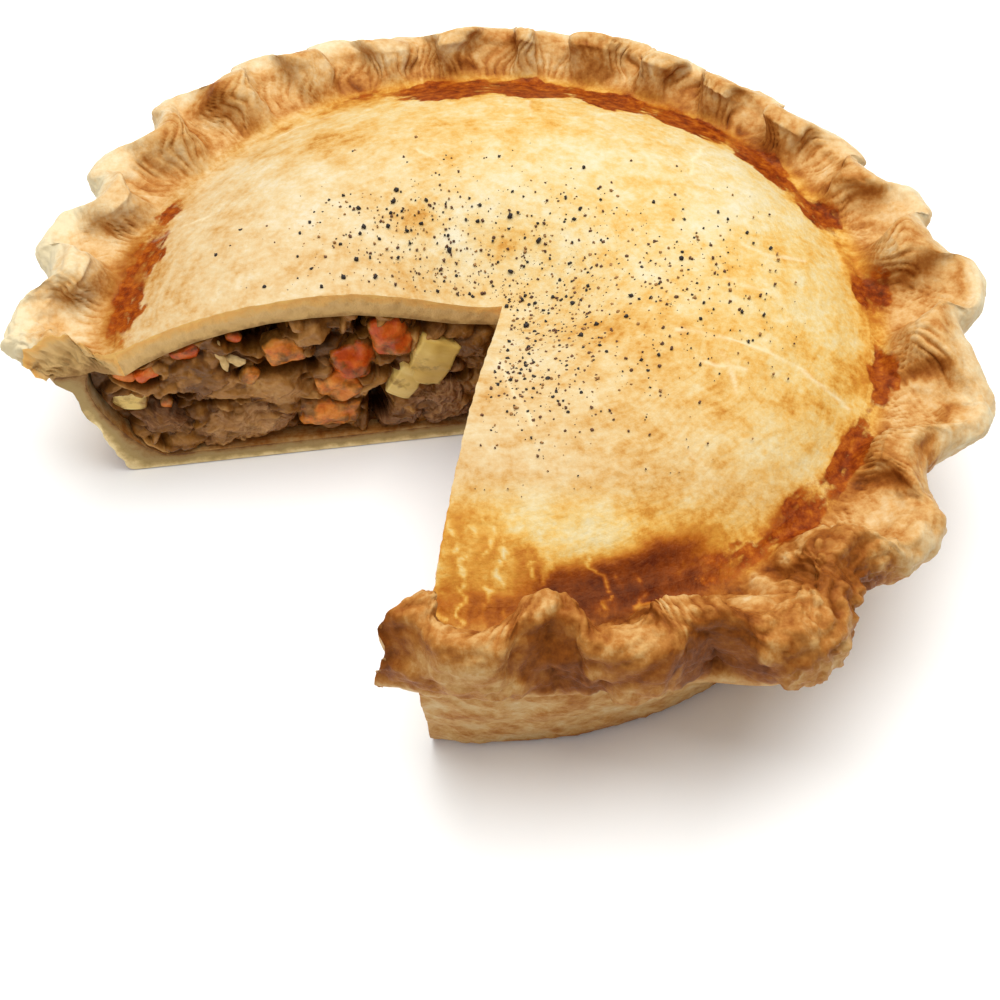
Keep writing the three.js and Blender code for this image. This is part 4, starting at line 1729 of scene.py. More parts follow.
        # The rim's bake value carries its painted shade and light as well as its baking.
        bake = dome_bake + (self.rim_bake_and_shade(angle, round_rim, across, share, relief) - dome_bake) * on_rim
        bake += self.groove_warmth(wide_angle, past_groove) * (1.0 - smooth_step(share, 0.2, 0.35))
        values = {
            "bake": bake + 0.15 * np.clip(toast, 0.0, 1.0),
            "toast": toast,
            "rim": on_rim,
            "tan": self.tan(upper[..., 0], upper[..., 1]),
            "gloss": self.gloss(bake, on_rim),
            "grain": self.weave(angle, round_rim, across),
        }
        corners = np.zeros((len(angle), 3, 2))
        corners[:, 0] = (form.inner_edge, float(form.lid_under(np.array(form.inner_edge))))
        corners[:, 1] = (form.root_radius, form.seam_height + form.gap)
        corners[:, 2] = section[:, -1]
        under = along_points(corners, self.rim_rows)
        lower = self.placed(under[..., 0], under[..., 1], wide_angle)
        self.make("lid_rim", upper, lower, values, self.rim_under_rows, False, materials)

    def gloss(self, bake: Array, on_rim: Array) -> Array:
        """How glossy a baked surface is, from 0 to 1: most where the glaze is amber."""
        return 0.3 + 0.6 * smooth_step(bake, 0.5, 0.7) * (1.0 - 0.6 * on_rim)

    def make(
        self,
        name: str,
        upper: Array,
        lower: Array,
        values: dict[str, Array],
        under_rows: int,
        pinched: bool,
        materials: list[Material],
    ) -> None:
        """Closes an upper side with an underside and two cut ends.

        Args:
            name: The piece's name.
            upper: The upper side's points, from the middle outwards.
            lower: The underside's points, one for each of those.
            values: Painted values of the upper side.
            under_rows: Rows that the underside keeps.
            pinched: Whether the middle is one point.
            materials: The baked finish and the cut one.
        """
        rows = np.unique(np.linspace(0, lower.shape[1] - 1, under_rows + 1).astype(int))[::-1]
        under = lower[:, rows]
        loop = np.concatenate([upper, under] if pinched else [upper, under, upper[:, :1]], axis=1)
        spare = loop.shape[1] - upper.shape[1]
        looped = {
            label: np.pad(value, ((0, 0), (0, spare)) + ((0, 0),) * (value.ndim - 2))
            for label, value in values.items()
        }
        work = Patchwork(self.form)
        work.sheet(loop, 0, looped, pinched=pinched)
        place = np.arange(lower.shape[1])
        for end, bake, flip in ((0, None if pinched else self.torn_bake, False), (-1, None, True)):
            edge = [np.interp(place, rows[::-1], lower[end, rows[::-1], axis]) for axis in range(3)]
            self.cut_end(work, upper[end], np.stack(edge, axis=-1), bake, flip)
        work.piece(name, "lid_crust", materials)

    def cut_end(self, work: Patchwork, upper: Array, lower: Array, bake: float | None, flip: bool) -> None:
        """Adds the cut face between the upper side and the underside at one end.

        Args:
            work: The mesh to add it to.
            upper: Points along the upper side.
            lower: Points along the underside, one for each upper point.
            bake: How far a torn end has baked, or None for a clean cut.
            flip: Whether the face looks along the pie's turning direction.
        """
        depth = np.linspace(0.0, 1.0, self.cut_layers + 1)[None, :, None]
        grid = upper[:, None] * (1.0 - depth) + lower[:, None] * depth
        inside = np.sin(np.pi * depth[..., 0]) * np.ones((len(upper), 1))
        rough = 0.5 + smooth_step(np.hypot(grid[..., 0], grid[..., 1]), 92.0, 104.0)
        grains = self.wave.layers(*np.moveaxis(grid / self.cut_grain, -1, 0), count=4, gain=0.65)
        grid = grid + (rough * grains * inside)[..., None] * grid_normals(grid)
        share = depth[..., 0] * np.ones((len(upper), 1))
        thick = np.linalg.norm(upper - lower, axis=-1)[:, None]
        patchy = self.wave.layers(grid[..., 0] / 5.0, grid[..., 2] / 5.0, count=3)
        values = {
            "bake": (bake or 0.0) + 0.15 * patchy,
            "rim": np.ones(share.shape),
            "depth": np.minimum(share * thick / self.crumb_depth, 0.5 + 0.5 * share),
            "grain": grid,
        }
        if flip:
            grid = grid[::-1]
        work.sheet(grid, 1 if bake is None else 0, values)


@dataclass
class BaseCrust:
    """The pastry base: a dish with a flared wall and a lip under the rim."""

    form: PieForm
    columns: int = 480
    floor_rows: int = 6
    wall_rows: int = 44
    lip_rows: int = 6
    cut_layers: int = 8
    layer_depth: float = 0.5
    lump_depth: float = 0.6
    ruffle_depth: float = 1.1
    wall_radius: float = 104.0

    def __post_init__(self) -> None:
        """Draws the noises that its relief and its baking read."""
        self.wave = Noise(31)
        self.other_wave = Noise(32)

    def chains(self, angle: Array) -> tuple[Array, Array]:
        """The inner and the outer side of the section, from the middle of the floor to the lip's edge.

        Args:
            angle: Angles round the pie.

        Returns:
            Two arrays of radius and height, of the same shape (angles, points, 2).
        """
        form = self.form
        lip = form.lip_radius(angle)
        seam = form.seam_height
        inside = np.array([(0.0, form.base_floor), *form.base_inside, (form.wall_top_radius, seam)])
        outside = np.array([(0.0, 0.0), *form.base_outside])
        parts = []
        for chain, join in ((inside, seam), (outside, seam - form.lip_thickness)):
            leading = np.broadcast_to(chain, (len(angle), *chain.shape))
            floor = along_points(leading[:, :2], self.floor_rows)[:, :-1]
            wall = through_points(leading[:, 1:], self.wall_rows)[:, :-1]
            rounding = form.lip_rounding if join == seam else 0.0
            turn = np.stack([lip - rounding, np.full_like(lip, join)], axis=-1)
            middle = np.full_like(lip, seam - form.lip_thickness / 2.0)
            tip = np.stack([lip + form.lip_rounding / 2.0, middle], axis=-1)
            edge = along_points(np.stack([leading[:, -1], turn, tip], axis=1), 2 * self.lip_rows)
            parts.append(np.concatenate([floor, wall, edge], axis=1))
        return parts[0], parts[1]

    def placed(self, chain: Array, angle: Array) -> Array:
        """Points at a chain's radii and heights."""
        x, y = self.form.plan(chain[..., 0], np.broadcast_to(angle[:, None], chain.shape[:2]))
        return np.stack([x, y, chain[..., 1]], axis=-1)

    def round_wall(self, angle: Array, height: Array) -> Array:
        """Millimetres round the wall, of the same shape as the heights."""
        return np.radians(angle)[:, None] * self.wall_radius + 0.0 * height

    def flaky(self, round_wall: Array, height: Array, count: int) -> Array:
        """Noise of so many layers that runs in slanting flakes along the wall."""
        slanted = (height + 0.5 * round_wall) / 5.0
        return self.wave.layers(round_wall / 6.0, slanted, height / 40.0, count=count)

    def relief(self, plain: Array, angle: Array) -> Array:
        """How far the outside stands off its plain form: flaky layers and soft lumps on the wall.

        Args:
            plain: Points of the plain outside, of shape (angles, rows, 3).
            angle: Angles round the pie.

        Returns:
            Millimetres outwards at each point.
        """
        height = plain[..., 2]
        round_wall = self.round_wall(angle, height)
        wall = window(height, (0.3, 3.0), (31.0, 36.0))
        layered = self.flaky(round_wall, height, 3)
        lumps = self.other_wave.layers(round_wall / 12.0, height / 9.0, 2.2, count=3)
        ruffles = self.other_wave((round_wall + 0.6 * height) / 3.4, height / 14.0, 7.7)
        foot = 1.0 - smooth_step(height, 5.0, 14.0)
        relief = self.layer_depth * layered + self.lump_depth * lumps
        return wall * (relief + self.ruffle_depth * foot * np.abs(ruffles))

    def build(self, materials: list[Material]) -> None:
        """Makes the base's mesh.

        Args:
            materials: The baked finish and the cut one.
        """
        angle = self.form.angles(self.columns)
        inner_chain, outer_chain = self.chains(angle)
        inner = self.placed(inner_chain, angle)
        plain = self.placed(outer_chain, angle)
        relief = self.relief(plain, angle)
        outer = plain - relief[..., None] * grid_normals(plain)
        loop = np.concatenate([inner[:, :-1], outer[:, ::-1]], axis=1)
        values = self.painting(loop, angle)
        work = Patchwork(self.form)
        work.sheet(loop, 0, values, pinched=True)
        self.cut_end(work, inner[0], outer[0], flip=False)
        self.cut_end(work, inner[-1], outer[-1], flip=True)
        work.piece("base_pastry", "base_crust", materials)

    def painting(self, loop: Array, angle: Array) -> dict[str, Array]:
        """The painted values of the shell: a pale wall with golden streaks and a browner foot and floor.

        Args:
            loop: Points round the section, of shape (angles, rows, 3).
            angle: Angles round the pie.

        Returns:
            The values by name, with a number or a vector for each point.
        """
        height = loop[..., 2]
        round_wall = self.round_wall(angle, height)
        streak = self.flaky(round_wall, height, 4)
        patchy = self.other_wave.layers(round_wall / 20.0, height / 12.0, 5.5, count=4)
        bake = 0.42 + 0.15 * streak + 0.14 * patchy + 0.2 * (1.0 - smooth_step(height, 0.5, 5.0))
        grain = np.stack([round_wall + 0.9 * height, 1.5 * height, np.zeros_like(height)], axis=-1)
        return {"bake": bake, "rim": np.ones_like(height), "grain": grain}

    def cut_end(self, work: Patchwork, inner: Array, outer: Array, flip: bool) -> None:
        """Adds the cut face between the inner and the outer side at one end.

        Args:
            work: The mesh to add it to.
            inner: Points along the inner side.
            outer: Points along the outer side, one for each inner point.
            flip: Whether the face looks along the pie's turning direction.
        """
        share = np.linspace(0.0, 1.0, self.cut_layers + 1)[None, :, None]
        grid = inner[:, None] * (1.0 - share) + outer[:, None] * share
        inside = np.sin(np.pi * share[..., 0]) * np.ones((len(inner), 1))
        bumpy = 0.35 * self.wave(grid[..., 0] / 2.5, grid[..., 1] / 2.5, grid[..., 2] / 2.5) * inside
        grid = grid + bumpy[..., None] * grid_normals(grid)
        depth = 1.0 - share[..., 0] * np.ones((len(inner), 1))
        floor = 1.0 - smooth_step(grid[..., 2], 3.0, 10.0)
        # The outer side of the wall's cut reads the palest colours, partly painted light on its crumbly edge;
        # the floor strip stays darker.
        values = {"depth": 0.98 * depth + 0.4 * floor * (1.0 - depth), "grain": grid}
        if flip:
            grid = grid[::-1]
        work.sheet(grid, 1, values)


class Kind(Enum):
    """The kinds of pieces in the filling."""

    BEEF = "beef"
    CARROT = "carrot"
    TOMATO = "tomato"
    CELERY = "celery"
    FLAKE = "flake"


@dataclass(frozen=True)
class Morsel:
    """One piece of the filling on a cut, by its place along the cut, its height and its size."""

    kind: Kind
    along: float
    up: float
    wide: float
    tall: float
    tilt: float
    sunk: float = 0.0

    @property
    def deep(self) -> float:
        """How far it reaches from front to back."""
        return min(self.wide, self.tall)


@dataclass(frozen=True)
class Meat:
    """A lump or shred of beef in the face of a cut, by its place, half sizes, tilt and how it stands out."""

    along: float
    up: float
    wide: float
    tall: float
    tilt: float
    top: float
    swell: float
    bare: float


@dataclass(frozen=True)
class Strewn:
    """Small meat strewn over a cut: its number, the limits of its half sizes and how it stands out."""

    count: int
    wide: Pair
    tall: Pair
    top: Pair
    swell: float
    bare: float


@dataclass(frozen=True)
class Hollow:
    """A hollow between the pieces of a cut face, dark from its depth and from the painted shade that the
    face's tone takes there.
    """

    along: float
    up: float
    wide: float
    tall: float
    depth: float


@dataclass
class Filling:
    """The gravy with its pieces of beef, carrot, tomato and celery on the two cuts."""

    form: PieForm
    face_columns: int = 370
    face_rows: int = 155
    core_columns: int = 48
    core_rows: int = 16
    core_behind: float = 30.0
    face_back: float = 22.0
    past_apex: float = 6.0
    reach: float = 103.0
    behind_cut: float = 0.42
    proud: float = -0.5
    celery_proud: float = 0.6
    most_proud: float = 1.6
    strewn: tuple[Strewn, ...] = (
        Strewn(95, (3.0, 8.0), (2.5, 5.0), (-5.4, -1.9), 3.0, 0.5),
        Strewn(120, (2.0, 5.5), (0.7, 1.5), (-4.0, -0.7), 1.6, 0.6),
    )
    strewn_along: Pair = (-2.0, 101.0)
    strewn_up: Pair = (6.0, 50.0)
    block_top: float = -3.2
    block_swell: float = 4.0
    block_clear: float = 2.2
    bare_below: float = 16.0
    block_share: float = 0.58
    meat_seed: int = 71
    bit_seed: int = 61
    block_steps: int = 22
    bit_steps: int = 9
    bit_counts: tuple[tuple[Kind, int], ...] = ((Kind.CARROT, 2), (Kind.TOMATO, 4))
    flakes: tuple[Morsel, ...] = (
        Morsel(Kind.FLAKE, 71.5, 38.2, 2.2, 9.5, 10.0),
        Morsel(Kind.FLAKE, 68.0, 36.0, 5.0, 2.0, -25.0),
        Morsel(Kind.FLAKE, 72.8, 34.6, 1.8, 4.0, 35.0),
    )
    shown: tuple[Morsel, ...] = (
        Morsel(Kind.CELERY, 18.5, 30.0, 12.0, 17.0, -24.0),
        Morsel(Kind.CELERY, 25.5, 23.5, 8.0, 12.0, -30.0),
        Morsel(Kind.TOMATO, 28.5, 38.5, 12.0, 14.0, 10.0),
        Morsel(Kind.TOMATO, 38.5, 32.0, 13.0, 13.0, 35.0),
        Morsel(Kind.CARROT, 43.0, 23.5, 12.0, 11.0, 20.0),
        Morsel(Kind.CARROT, 46.0, 13.0, 18.0, 10.0, -8.0),
        Morsel(Kind.CARROT, 56.0, 37.5, 11.0, 8.0, 12.0),
        Morsel(Kind.BEEF, 8.0, 34.0, 13.0, 11.0, 0.0),
        Morsel(Kind.BEEF, 15.5, 14.0, 16.0, 18.0, 25.0),
        Morsel(Kind.BEEF, 27.0, 13.0, 13.0, 14.0, -10.0),
        Morsel(Kind.BEEF, 49.5, 43.0, 13.0, 9.0, 20.0),
        Morsel(Kind.BEEF, 61.0, 25.0, 24.0, 15.0, -14.0),
        Morsel(Kind.BEEF, 69.0, 12.5, 24.0, 13.0, 8.0),
        Morsel(Kind.BEEF, 80.0, 31.0, 18.0, 17.0, 0.0),
        Morsel(Kind.BEEF, 89.0, 15.5, 15.0, 9.0, -30.0),
        Morsel(Kind.TOMATO, 80.5, 42.0, 8.0, 7.0, 0.0),
        Morsel(Kind.CELERY, 97.0, 25.2, 10.0, 7.0, -12.0, 2.4),
    )
    hollows: tuple[Hollow, ...] = tuple(
        Hollow(*row)
        for row in (
            (62.5, 44.5, 9.0, 6.5, 16.0), (92.0, 33.0, 4.5, 3.5, 9.0), (84.5, 26.0, 4.0, 2.5, 7.0),
            (58.0, 31.5, 12.0, 2.0, 6.0), (33.5, 16.0, 3.5, 7.0, 8.0), (12.0, 23.5, 5.0, 2.2, 7.0),
            (74.0, 22.0, 7.0, 1.6, 5.0), (35.0, 44.0, 3.0, 5.0, 7.0),
        )
    )

    def __post_init__(self) -> None:
        """Draws the noises that its relief reads."""
        self.wave = Noise(41)
        self.other_wave = Noise(42)

    def other_morsels(self) -> tuple[Morsel, ...]:
        """The pieces on the other cut, spread over it in rows by the part's own seeded rule.

        Returns:
            The pieces.
        """
        random = SeededRandom(5)
        kinds = (Kind.BEEF, Kind.BEEF, Kind.CARROT, Kind.BEEF, Kind.TOMATO, Kind.CELERY)
        made = []
        for row, height in enumerate((13.0, 25.0, 36.0)):
            for start in np.arange(9.0 + 4.0 * row, 94.0, 15.0):
                kind = kinds[int(random() * len(kinds))]
                wide = 10.0 + 6.0 * random()
                tall = wide * (0.75 + 0.3 * random())
                along = float(start) + 4.0 * random()
                up = height + 4.0 * random()
                made.append(Morsel(kind, along, up, wide, tall, 40.0 * (2.0 * random() - 1.0)))
        return tuple(made)

    def floor_at(self, radius: Array) -> Array:
        """Height of the base's inner side under the filling."""
        inside = np.array(self.form.base_inside)
        return np.interp(radius, inside[:, 0], inside[:, 1]) + self.form.gap

    def roof_at(self, radius: Array) -> Array:
        """Height of the lid's underside over the filling.

        Args:
            radius: Radii.

        Returns:
            The heights.
        """
        form = self.form
        edge = form.inner_edge
        low = float(form.lid_under(np.array(edge)))
        outside = low + (form.seam_height - low) * np.clip((radius - edge) / form.root_inset, 0.0, 1.0)
        return np.where(radius < edge, form.lid_under(np.minimum(np.abs(radius), edge)), outside) - form.gap

    def meat(self, blocks: tuple[Morsel, ...], seed: int) -> list[Meat]:
        """The beef of a cut: its larger pieces, with torn lumps and shreds strewn between them.

        Args:
            blocks: The larger pieces on the cut.
            seed: Seed of the scatter.

        Returns:
            The meat, from the deepest to what stands out most.
        """
        random = np.random.default_rng(seed)
        made = []
        for block in blocks:
            if block.kind is Kind.BEEF:
                wide, tall = self.block_share * block.wide, self.block_share * block.tall
                stands = (self.block_top, self.block_swell, self.bareness(block))
                made.append(Meat(block.along, block.up, wide, tall, block.tilt, *stands))
        for kind in self.strewn:
            for _ in range(kind.count):
                along = random.uniform(*self.strewn_along)
                up = random.uniform(*self.strewn_up)
                tilt = random.normal(15.0, 40.0)
                bare = kind.bare * random.random() ** 3
                wide, tall = random.uniform(*kind.wide), random.uniform(*kind.tall)
                made.append(Meat(along, up, wide, tall, tilt, random.uniform(*kind.top), kind.swell, bare))
        return made

    def bareness(self, block: Morsel) -> float:
        """How bare of gravy a piece of beef is: most where it lies low."""
        return 1.0 if block.up < self.bare_below else 0.2

    def face_relief(
        self,
        along: Array,
        up: Array,
        meat: list[Meat],
        blocks: tuple[Morsel, ...],
        hollows: tuple[Hollow, ...],
    ) -> dict[str, Array]:
        """The gravy-coated meat of a cut as one lumpy face.

        Args:
            along: Millimetres from the apex along the cut.
            up: Heights.
            meat: The meat on this cut.
            blocks: The larger pieces on this cut, whose vegetables the meat keeps clear of.
            hollows: The hollows in this cut.

        Returns:
            The face's depth out of the cut in millimetres, and its grain, its tone, which holds painted shade
            that darkens the deeper parts, and its bareness.
        """
        depth = -4.8 + 1.2 * self.wave.layers(along / 8.0, up / 6.0, count=3)
        grain = np.stack([along, up, np.zeros_like(up)], axis=-1)
        bare = np.zeros_like(up)
        tone = np.zeros_like(up)
        warp_along = self.wave.layers(along / 7.0, up / 7.0, count=3)
        warp_up = self.other_wave.layers(along / 7.0, up / 7.0, count=3)
        for number, lump in enumerate(meat):
            u, v = tilted(along - lump.along, up - lump.up, lump.tilt)
            u = u + 0.4 * lump.wide * warp_along
            v = v + 0.4 * lump.tall * warp_up
            away = np.hypot(u / lump.wide, v / lump.tall)
            near = away < 1.5
            seed = 3.7 * number
            strands = self.other_wave.layers(u[near] / 4.0 + seed, v[near] / 0.9, count=3)
            lumpy = self.wave.layers(u[near] / 4.0 + seed, v[near] / 4.0, count=3)
            top = lump.top + lump.swell * (1.0 - away[near] ** 3.0) + 0.7 * lumpy + 0.5 * strands * lump.bare
            rises = smooth_step(top - depth[near], -0.2, 0.2)
            depth[near] = depth[near] + (top - depth[near]) * rises
            bare[near] = bare[near] + (lump.bare - bare[near]) * rises
            tone[near] = tone[near] + (0.12 * float(scatter(np.array(seed))) - tone[near]) * rises
            local = np.stack([u[near], v[near], np.full(int(near.sum()), seed)], axis=-1)
            grain[near] = np.where(rises[:, None] > 0.5, local, grain[near])
        depth = np.minimum(depth, 1.6) + 0.16 * self.other_wave.layers(along / 1.6, up / 1.6, count=2)
        for block in blocks:
            if block.kind is not Kind.BEEF:
                u, v = tilted(along - block.along, up - block.up, block.tilt)
                away = np.hypot(u / block.wide, v / block.tall) / 0.5 + 0.12 * warp_along
                depth = np.minimum(depth, self.block_clear * (1.5 * smooth_step(away, 0.75, 1.15) - 1.0))
        for hollow in hollows:
            away = np.hypot((along - hollow.along) / hollow.wide, (up - hollow.up) / hollow.tall)
            ragged = away + 0.35 * self.wave.layers(along / 4.0, up / 4.0, count=2)
            depth = depth - hollow.depth * (1.0 - smooth_step(ragged, 0.5, 1.1))
        depth = np.maximum(depth, 2.0 - self.face_back)
        # Painted shade: the tone darkens where the face lies deeper, in hollows and crevices, and lightens on
        # what stands out.
        tone = tone + 0.03 + 0.045 * np.clip(depth + 1.0, -5.0, 2.0)
        return {"depth": depth, "grain": grain, "tone": tone, "bare": bare}

    def face(
        self, work: Patchwork, cut: Cut, blocks: tuple[Morsel, ...], hollows: tuple[Hollow, ...], seed: int
    ) -> None:
        """Adds the lumpy face on one cut, as a closed slab.

        Args:
            work: The mesh to add it to.
            cut: Which cut it is.
            blocks: The larger pieces on this cut.
            hollows: The hollows in this cut.
            seed: Seed of the meat's scatter.
        """
        way, out, stretch = self.form.cut_frame(cut)
        along = np.linspace(-self.past_apex, self.reach * stretch, self.face_columns)[:, None]
        radius = np.abs(along) / stretch
        share = np.linspace(0.0, 1.0, self.face_rows)[None, :]
        floor, roof = self.floor_at(radius), self.roof_at(radius)
        up = floor + (roof - floor) * share
        along = np.broadcast_to(along, up.shape)
        relief = self.face_relief(along, up, self.meat(blocks, seed), blocks, hollows)
        start = np.array([*self.form.apex, 0.0])
        flat = start + along[..., None] * way + up[..., None] * np.array([0.0, 0.0, 1.0])
        front = flat + relief["depth"][..., None] * out
        back = flat - self.face_back * out
        values = {name: relief[name] for name in ("grain", "tone", "bare")}
        self.facing(work, cut, front, values)
        for edge in (
            back[::-1, [0, -1]],
            np.stack([back[:, 0], front[:, 0]], axis=1),
            np.stack([front[:, -1], back[:, -1]], axis=1),
            np.stack([back[-1], front[-1]], axis=1),
            np.stack([front[0], back[0]], axis=1),
        ):
            self.facing(work, cut, edge, {"grain": edge})

    def facing(self, work: Patchwork, cut: Cut, grid: Array, values: dict[str, Array]) -> None:
        """Adds a sheet whose faces look out of a cut.

        Args:
            work: The mesh to add it to.
            cut: Which cut it is.
            grid: Points of shape (columns, rows, 3).
            values: Painted values of shape (columns, rows).
        """
        if cut is Cut.OTHER:
            grid = grid[::-1]
            values = {name: value[::-1] for name, value in values.items()}
        work.sheet(grid, 0, values)

    def core(self, work: Patchwork) -> None:
        """Adds the gravy between the cuts, which the crusts hide, as a closed loft.

        Args:
            work: The mesh to add it to.
        """
        form = self.form
        first, last = form.cut_to + self.core_behind, form.cut_from + TURN - self.core_behind
        angle = np.linspace(first, last, self.core_columns)
        radius = np.linspace(0.0, self.reach, self.core_rows)
        top = np.stack([radius, self.roof_at(radius)], axis=-1)
        bottom = np.stack([radius, self.floor_at(radius)], axis=-1)[::-1]
        loop = np.concatenate([top, bottom])
        x, y = form.plan(np.broadcast_to(loop[:, 0], (len(angle), len(loop))), angle[:, None])
        grid = np.stack([x, y, np.broadcast_to(loop[:, 1], x.shape)], axis=-1)
        work.sheet(grid, 0, {"grain": grid}, pinched=True)
        for end, flip in ((0, False), (-1, True)):
            cap = np.stack([grid[end, : self.core_rows], grid[end, self.core_rows :][::-1]], axis=1)
            cap = cap[::-1] if flip else cap
            work.sheet(cap, 0, {"grain": cap})

    def build(self, finishes: dict[Kind, Material], gravy: Material) -> None:
        """Makes the gravy-coated meat of each cut, and one mesh for each kind of vegetable.

        Args:
            finishes: The material of each kind of piece that isn't meat.
            gravy: The material of the meat and gravy.
        """
        others = self.other_morsels()
        faces = ((Cut.SHOWN, self.shown, self.hollows), (Cut.OTHER, others, ()))
        for number, (cut, blocks, hollows) in enumerate(faces):
            work = Patchwork(self.form)
            if cut is Cut.OTHER:
                self.core(work)
            self.face(work, cut, blocks, hollows, self.meat_seed + number)
            work.piece(f"meat_and_gravy_{cut.value}", "filling", [gravy])
        shown_bits = self.flakes + self.bits(self.shown, self.bit_seed)
        other_bits = self.bits(others, self.bit_seed + 1)
        for kind in finishes:
            pieces = Patchwork(self.form)
            for cut, morsels, bits in ((Cut.SHOWN, self.shown, shown_bits), (Cut.OTHER, others, other_bits)):
                for steps, group in ((self.block_steps, morsels), (self.bit_steps, bits)):
                    for number, morsel in enumerate(group):
                        if morsel.kind is kind:
                            self.add_morsel(pieces, morsel, cut, number, steps)
            pieces.piece(f"{kind.value}_pieces", "filling", [finishes[kind]])

    def bits(self, blocks: tuple[Morsel, ...], seed: int) -> tuple[Morsel, ...]:
        """Small bits of vegetable between the larger pieces of a cut.

        Args:
            blocks: The larger pieces on the cut, whose vegetables stay in sight.
            seed: Seed of the scatter.

        Returns:
            The small pieces.
        """
        random = np.random.default_rng(seed)
        made = []
        for kind, count in self.bit_counts:
            placed = 0
            while placed < count:
                along = random.uniform(2.0, 97.0)
                floor = float(self.floor_at(np.array(along)))
                roof = float(self.roof_at(np.array(along)))
                up = random.uniform(floor + 1.0, roof - 1.0)
                wide = random.uniform(3.0, 6.5)
                tall = wide * random.uniform(0.6, 1.0)
                tilt = random.normal(10.0, 40.0)
                hides = any(
                    math.hypot((along - block.along) / block.wide, (up - block.up) / block.tall) < 0.55
                    for block in blocks
                    if block.kind is not Kind.BEEF
                )
                if not hides:
                    made.append(Morsel(kind, along, up, wide, tall, tilt))
                    placed += 1
        return tuple(made)

    def add_morsel(self, work: Patchwork, morsel: Morsel, cut: Cut, number: int, steps: int) -> None:
        """Adds one piece, set into the cut with most of it behind it.

        Args:
            work: The mesh to add it to.
            morsel: The piece.
            cut: The cut it shows on.
            number: Its place in the list, which seeds its unevenness.
            steps: Quads along each edge of its block.
        """
        way, out, _ = self.form.cut_frame(cut)
        shape = SHAPES[morsel.kind]
        ball, faces = round_block(steps, shape.squareness)
        size = np.array([morsel.wide, morsel.deep, morsel.tall])
        local = ball * size * shape.half
        seed = 13.7 * number + (50.0 if cut is Cut.OTHER else 0.0)
        noise = self.wave.layers(*(local / shape.lump).T + seed, count=2, gain=0.25)
        small = steps == self.bit_steps
        local = local * (1.0 + (1.5 if small else 1.0) * shape.uneven * noise)[:, None]
        if shape.fibre > 0.0:
            fibres = local / np.array([9.0, 1.6, 1.6]) + np.array([seed, 0.0, 0.0])
            strands = self.other_wave.layers(*fibres.T, count=2)
            local = local + ball * (shape.fibre * strands)[:, None]
        along, up = tilted(local[:, 0], local[:, 2], -morsel.tilt)
        along, up = along + morsel.along, up + morsel.up
        proud = self.celery_proud if morsel.kind is Kind.CELERY else self.proud
        sunk = self.behind_cut * morsel.deep - proud + morsel.sunk
        if small:
            sunk = 2.4 + 1.2 * float(scatter(np.array(number * 1.7)))
        behind = np.minimum(local[:, 1] - sunk, self.most_proud)
        start = np.array([*self.form.apex, 0.0])
        points = start + along[:, None] * way + behind[:, None] * out
        points[:, 2] = up
        self.keep_between_crusts(points, along)
        tone = np.full(len(points), 0.09 * float(scatter(np.array(number * 3.0))))
        outward = faces if cut is Cut.SHOWN else faces[:, ::-1]
        sunken = 0.26 * smooth_step(-behind, 0.6, 3.5)
        work.add(points, [outward], 0, {"grain": local + seed, "tone": tone, "sunken": sunken})

    def keep_between_crusts(self, points: Array, along: Array) -> None:
        """Holds points between the base and the lid, in place."""
        radius = np.clip(np.abs(along), 0.0, self.reach)
        points[:, 2] = np.clip(points[:, 2], self.floor_at(radius), self.roof_at(radius))


@dataclass(frozen=True)
class MorselShape:
    """How the pieces of one kind are shaped."""

    half: float
    squareness: float
    uneven: float
    lump: float
    fibre: float = 0.0


SHAPES = {
    Kind.CARROT: MorselShape(half=0.52, squareness=0.3, uneven=0.26, lump=5.0),
    Kind.TOMATO: MorselShape(half=0.54, squareness=0.2, uneven=0.28, lump=5.0),
    Kind.CELERY: MorselShape(half=0.5, squareness=0.6, uneven=0.1, lump=6.0, fibre=0.2),
    Kind.FLAKE: MorselShape(half=0.5, squareness=0.4, uneven=0.35, lump=2.0),
}


def round_block(steps: int, squareness: float) -> tuple[Array, Array]:
    """A closed block between a ball and a cube, about 1 from its middle to each side.

    Args:
        steps: Quads along each edge.
        squareness: 0 for a ball and 1 for a cube.

    Returns:
        Points of shape (count, 3) and quads that face outwards.
    """
    line = np.tan(np.linspace(-1.0, 1.0, steps + 1) * math.pi / 4.0)
    first, second = np.meshgrid(line, line, indexing="ij")
    points, quads = [], []
    number = np.arange((steps + 1) ** 2).reshape(steps + 1, steps + 1)
    corners = [number[:-1, :-1], number[1:, :-1], number[1:, 1:], number[:-1, 1:]]
    face = np.stack(corners, axis=-1).reshape(-1, 4)
    for axis in range(3):
        for side in (-1.0, 1.0):
            cube = np.empty((first.size, 3))
            cube[:, axis] = side
            cube[:, (axis + 1) % 3] = first.ravel()
            cube[:, (axis + 2) % 3] = second.ravel()
            quads.append((face if side > 0.0 else face[:, ::-1]) + len(points) * first.size)
            points.append(cube)
    cube = np.concatenate(points)
    _, keep, same = np.unique(np.round(cube, 6), axis=0, return_index=True, return_inverse=True)
    cube = cube[keep]
    ball = cube / np.linalg.norm(cube, axis=1, keepdims=True)
    return squareness * cube + (1.0 - squareness) * ball, same.ravel()[np.concatenate(quads)]


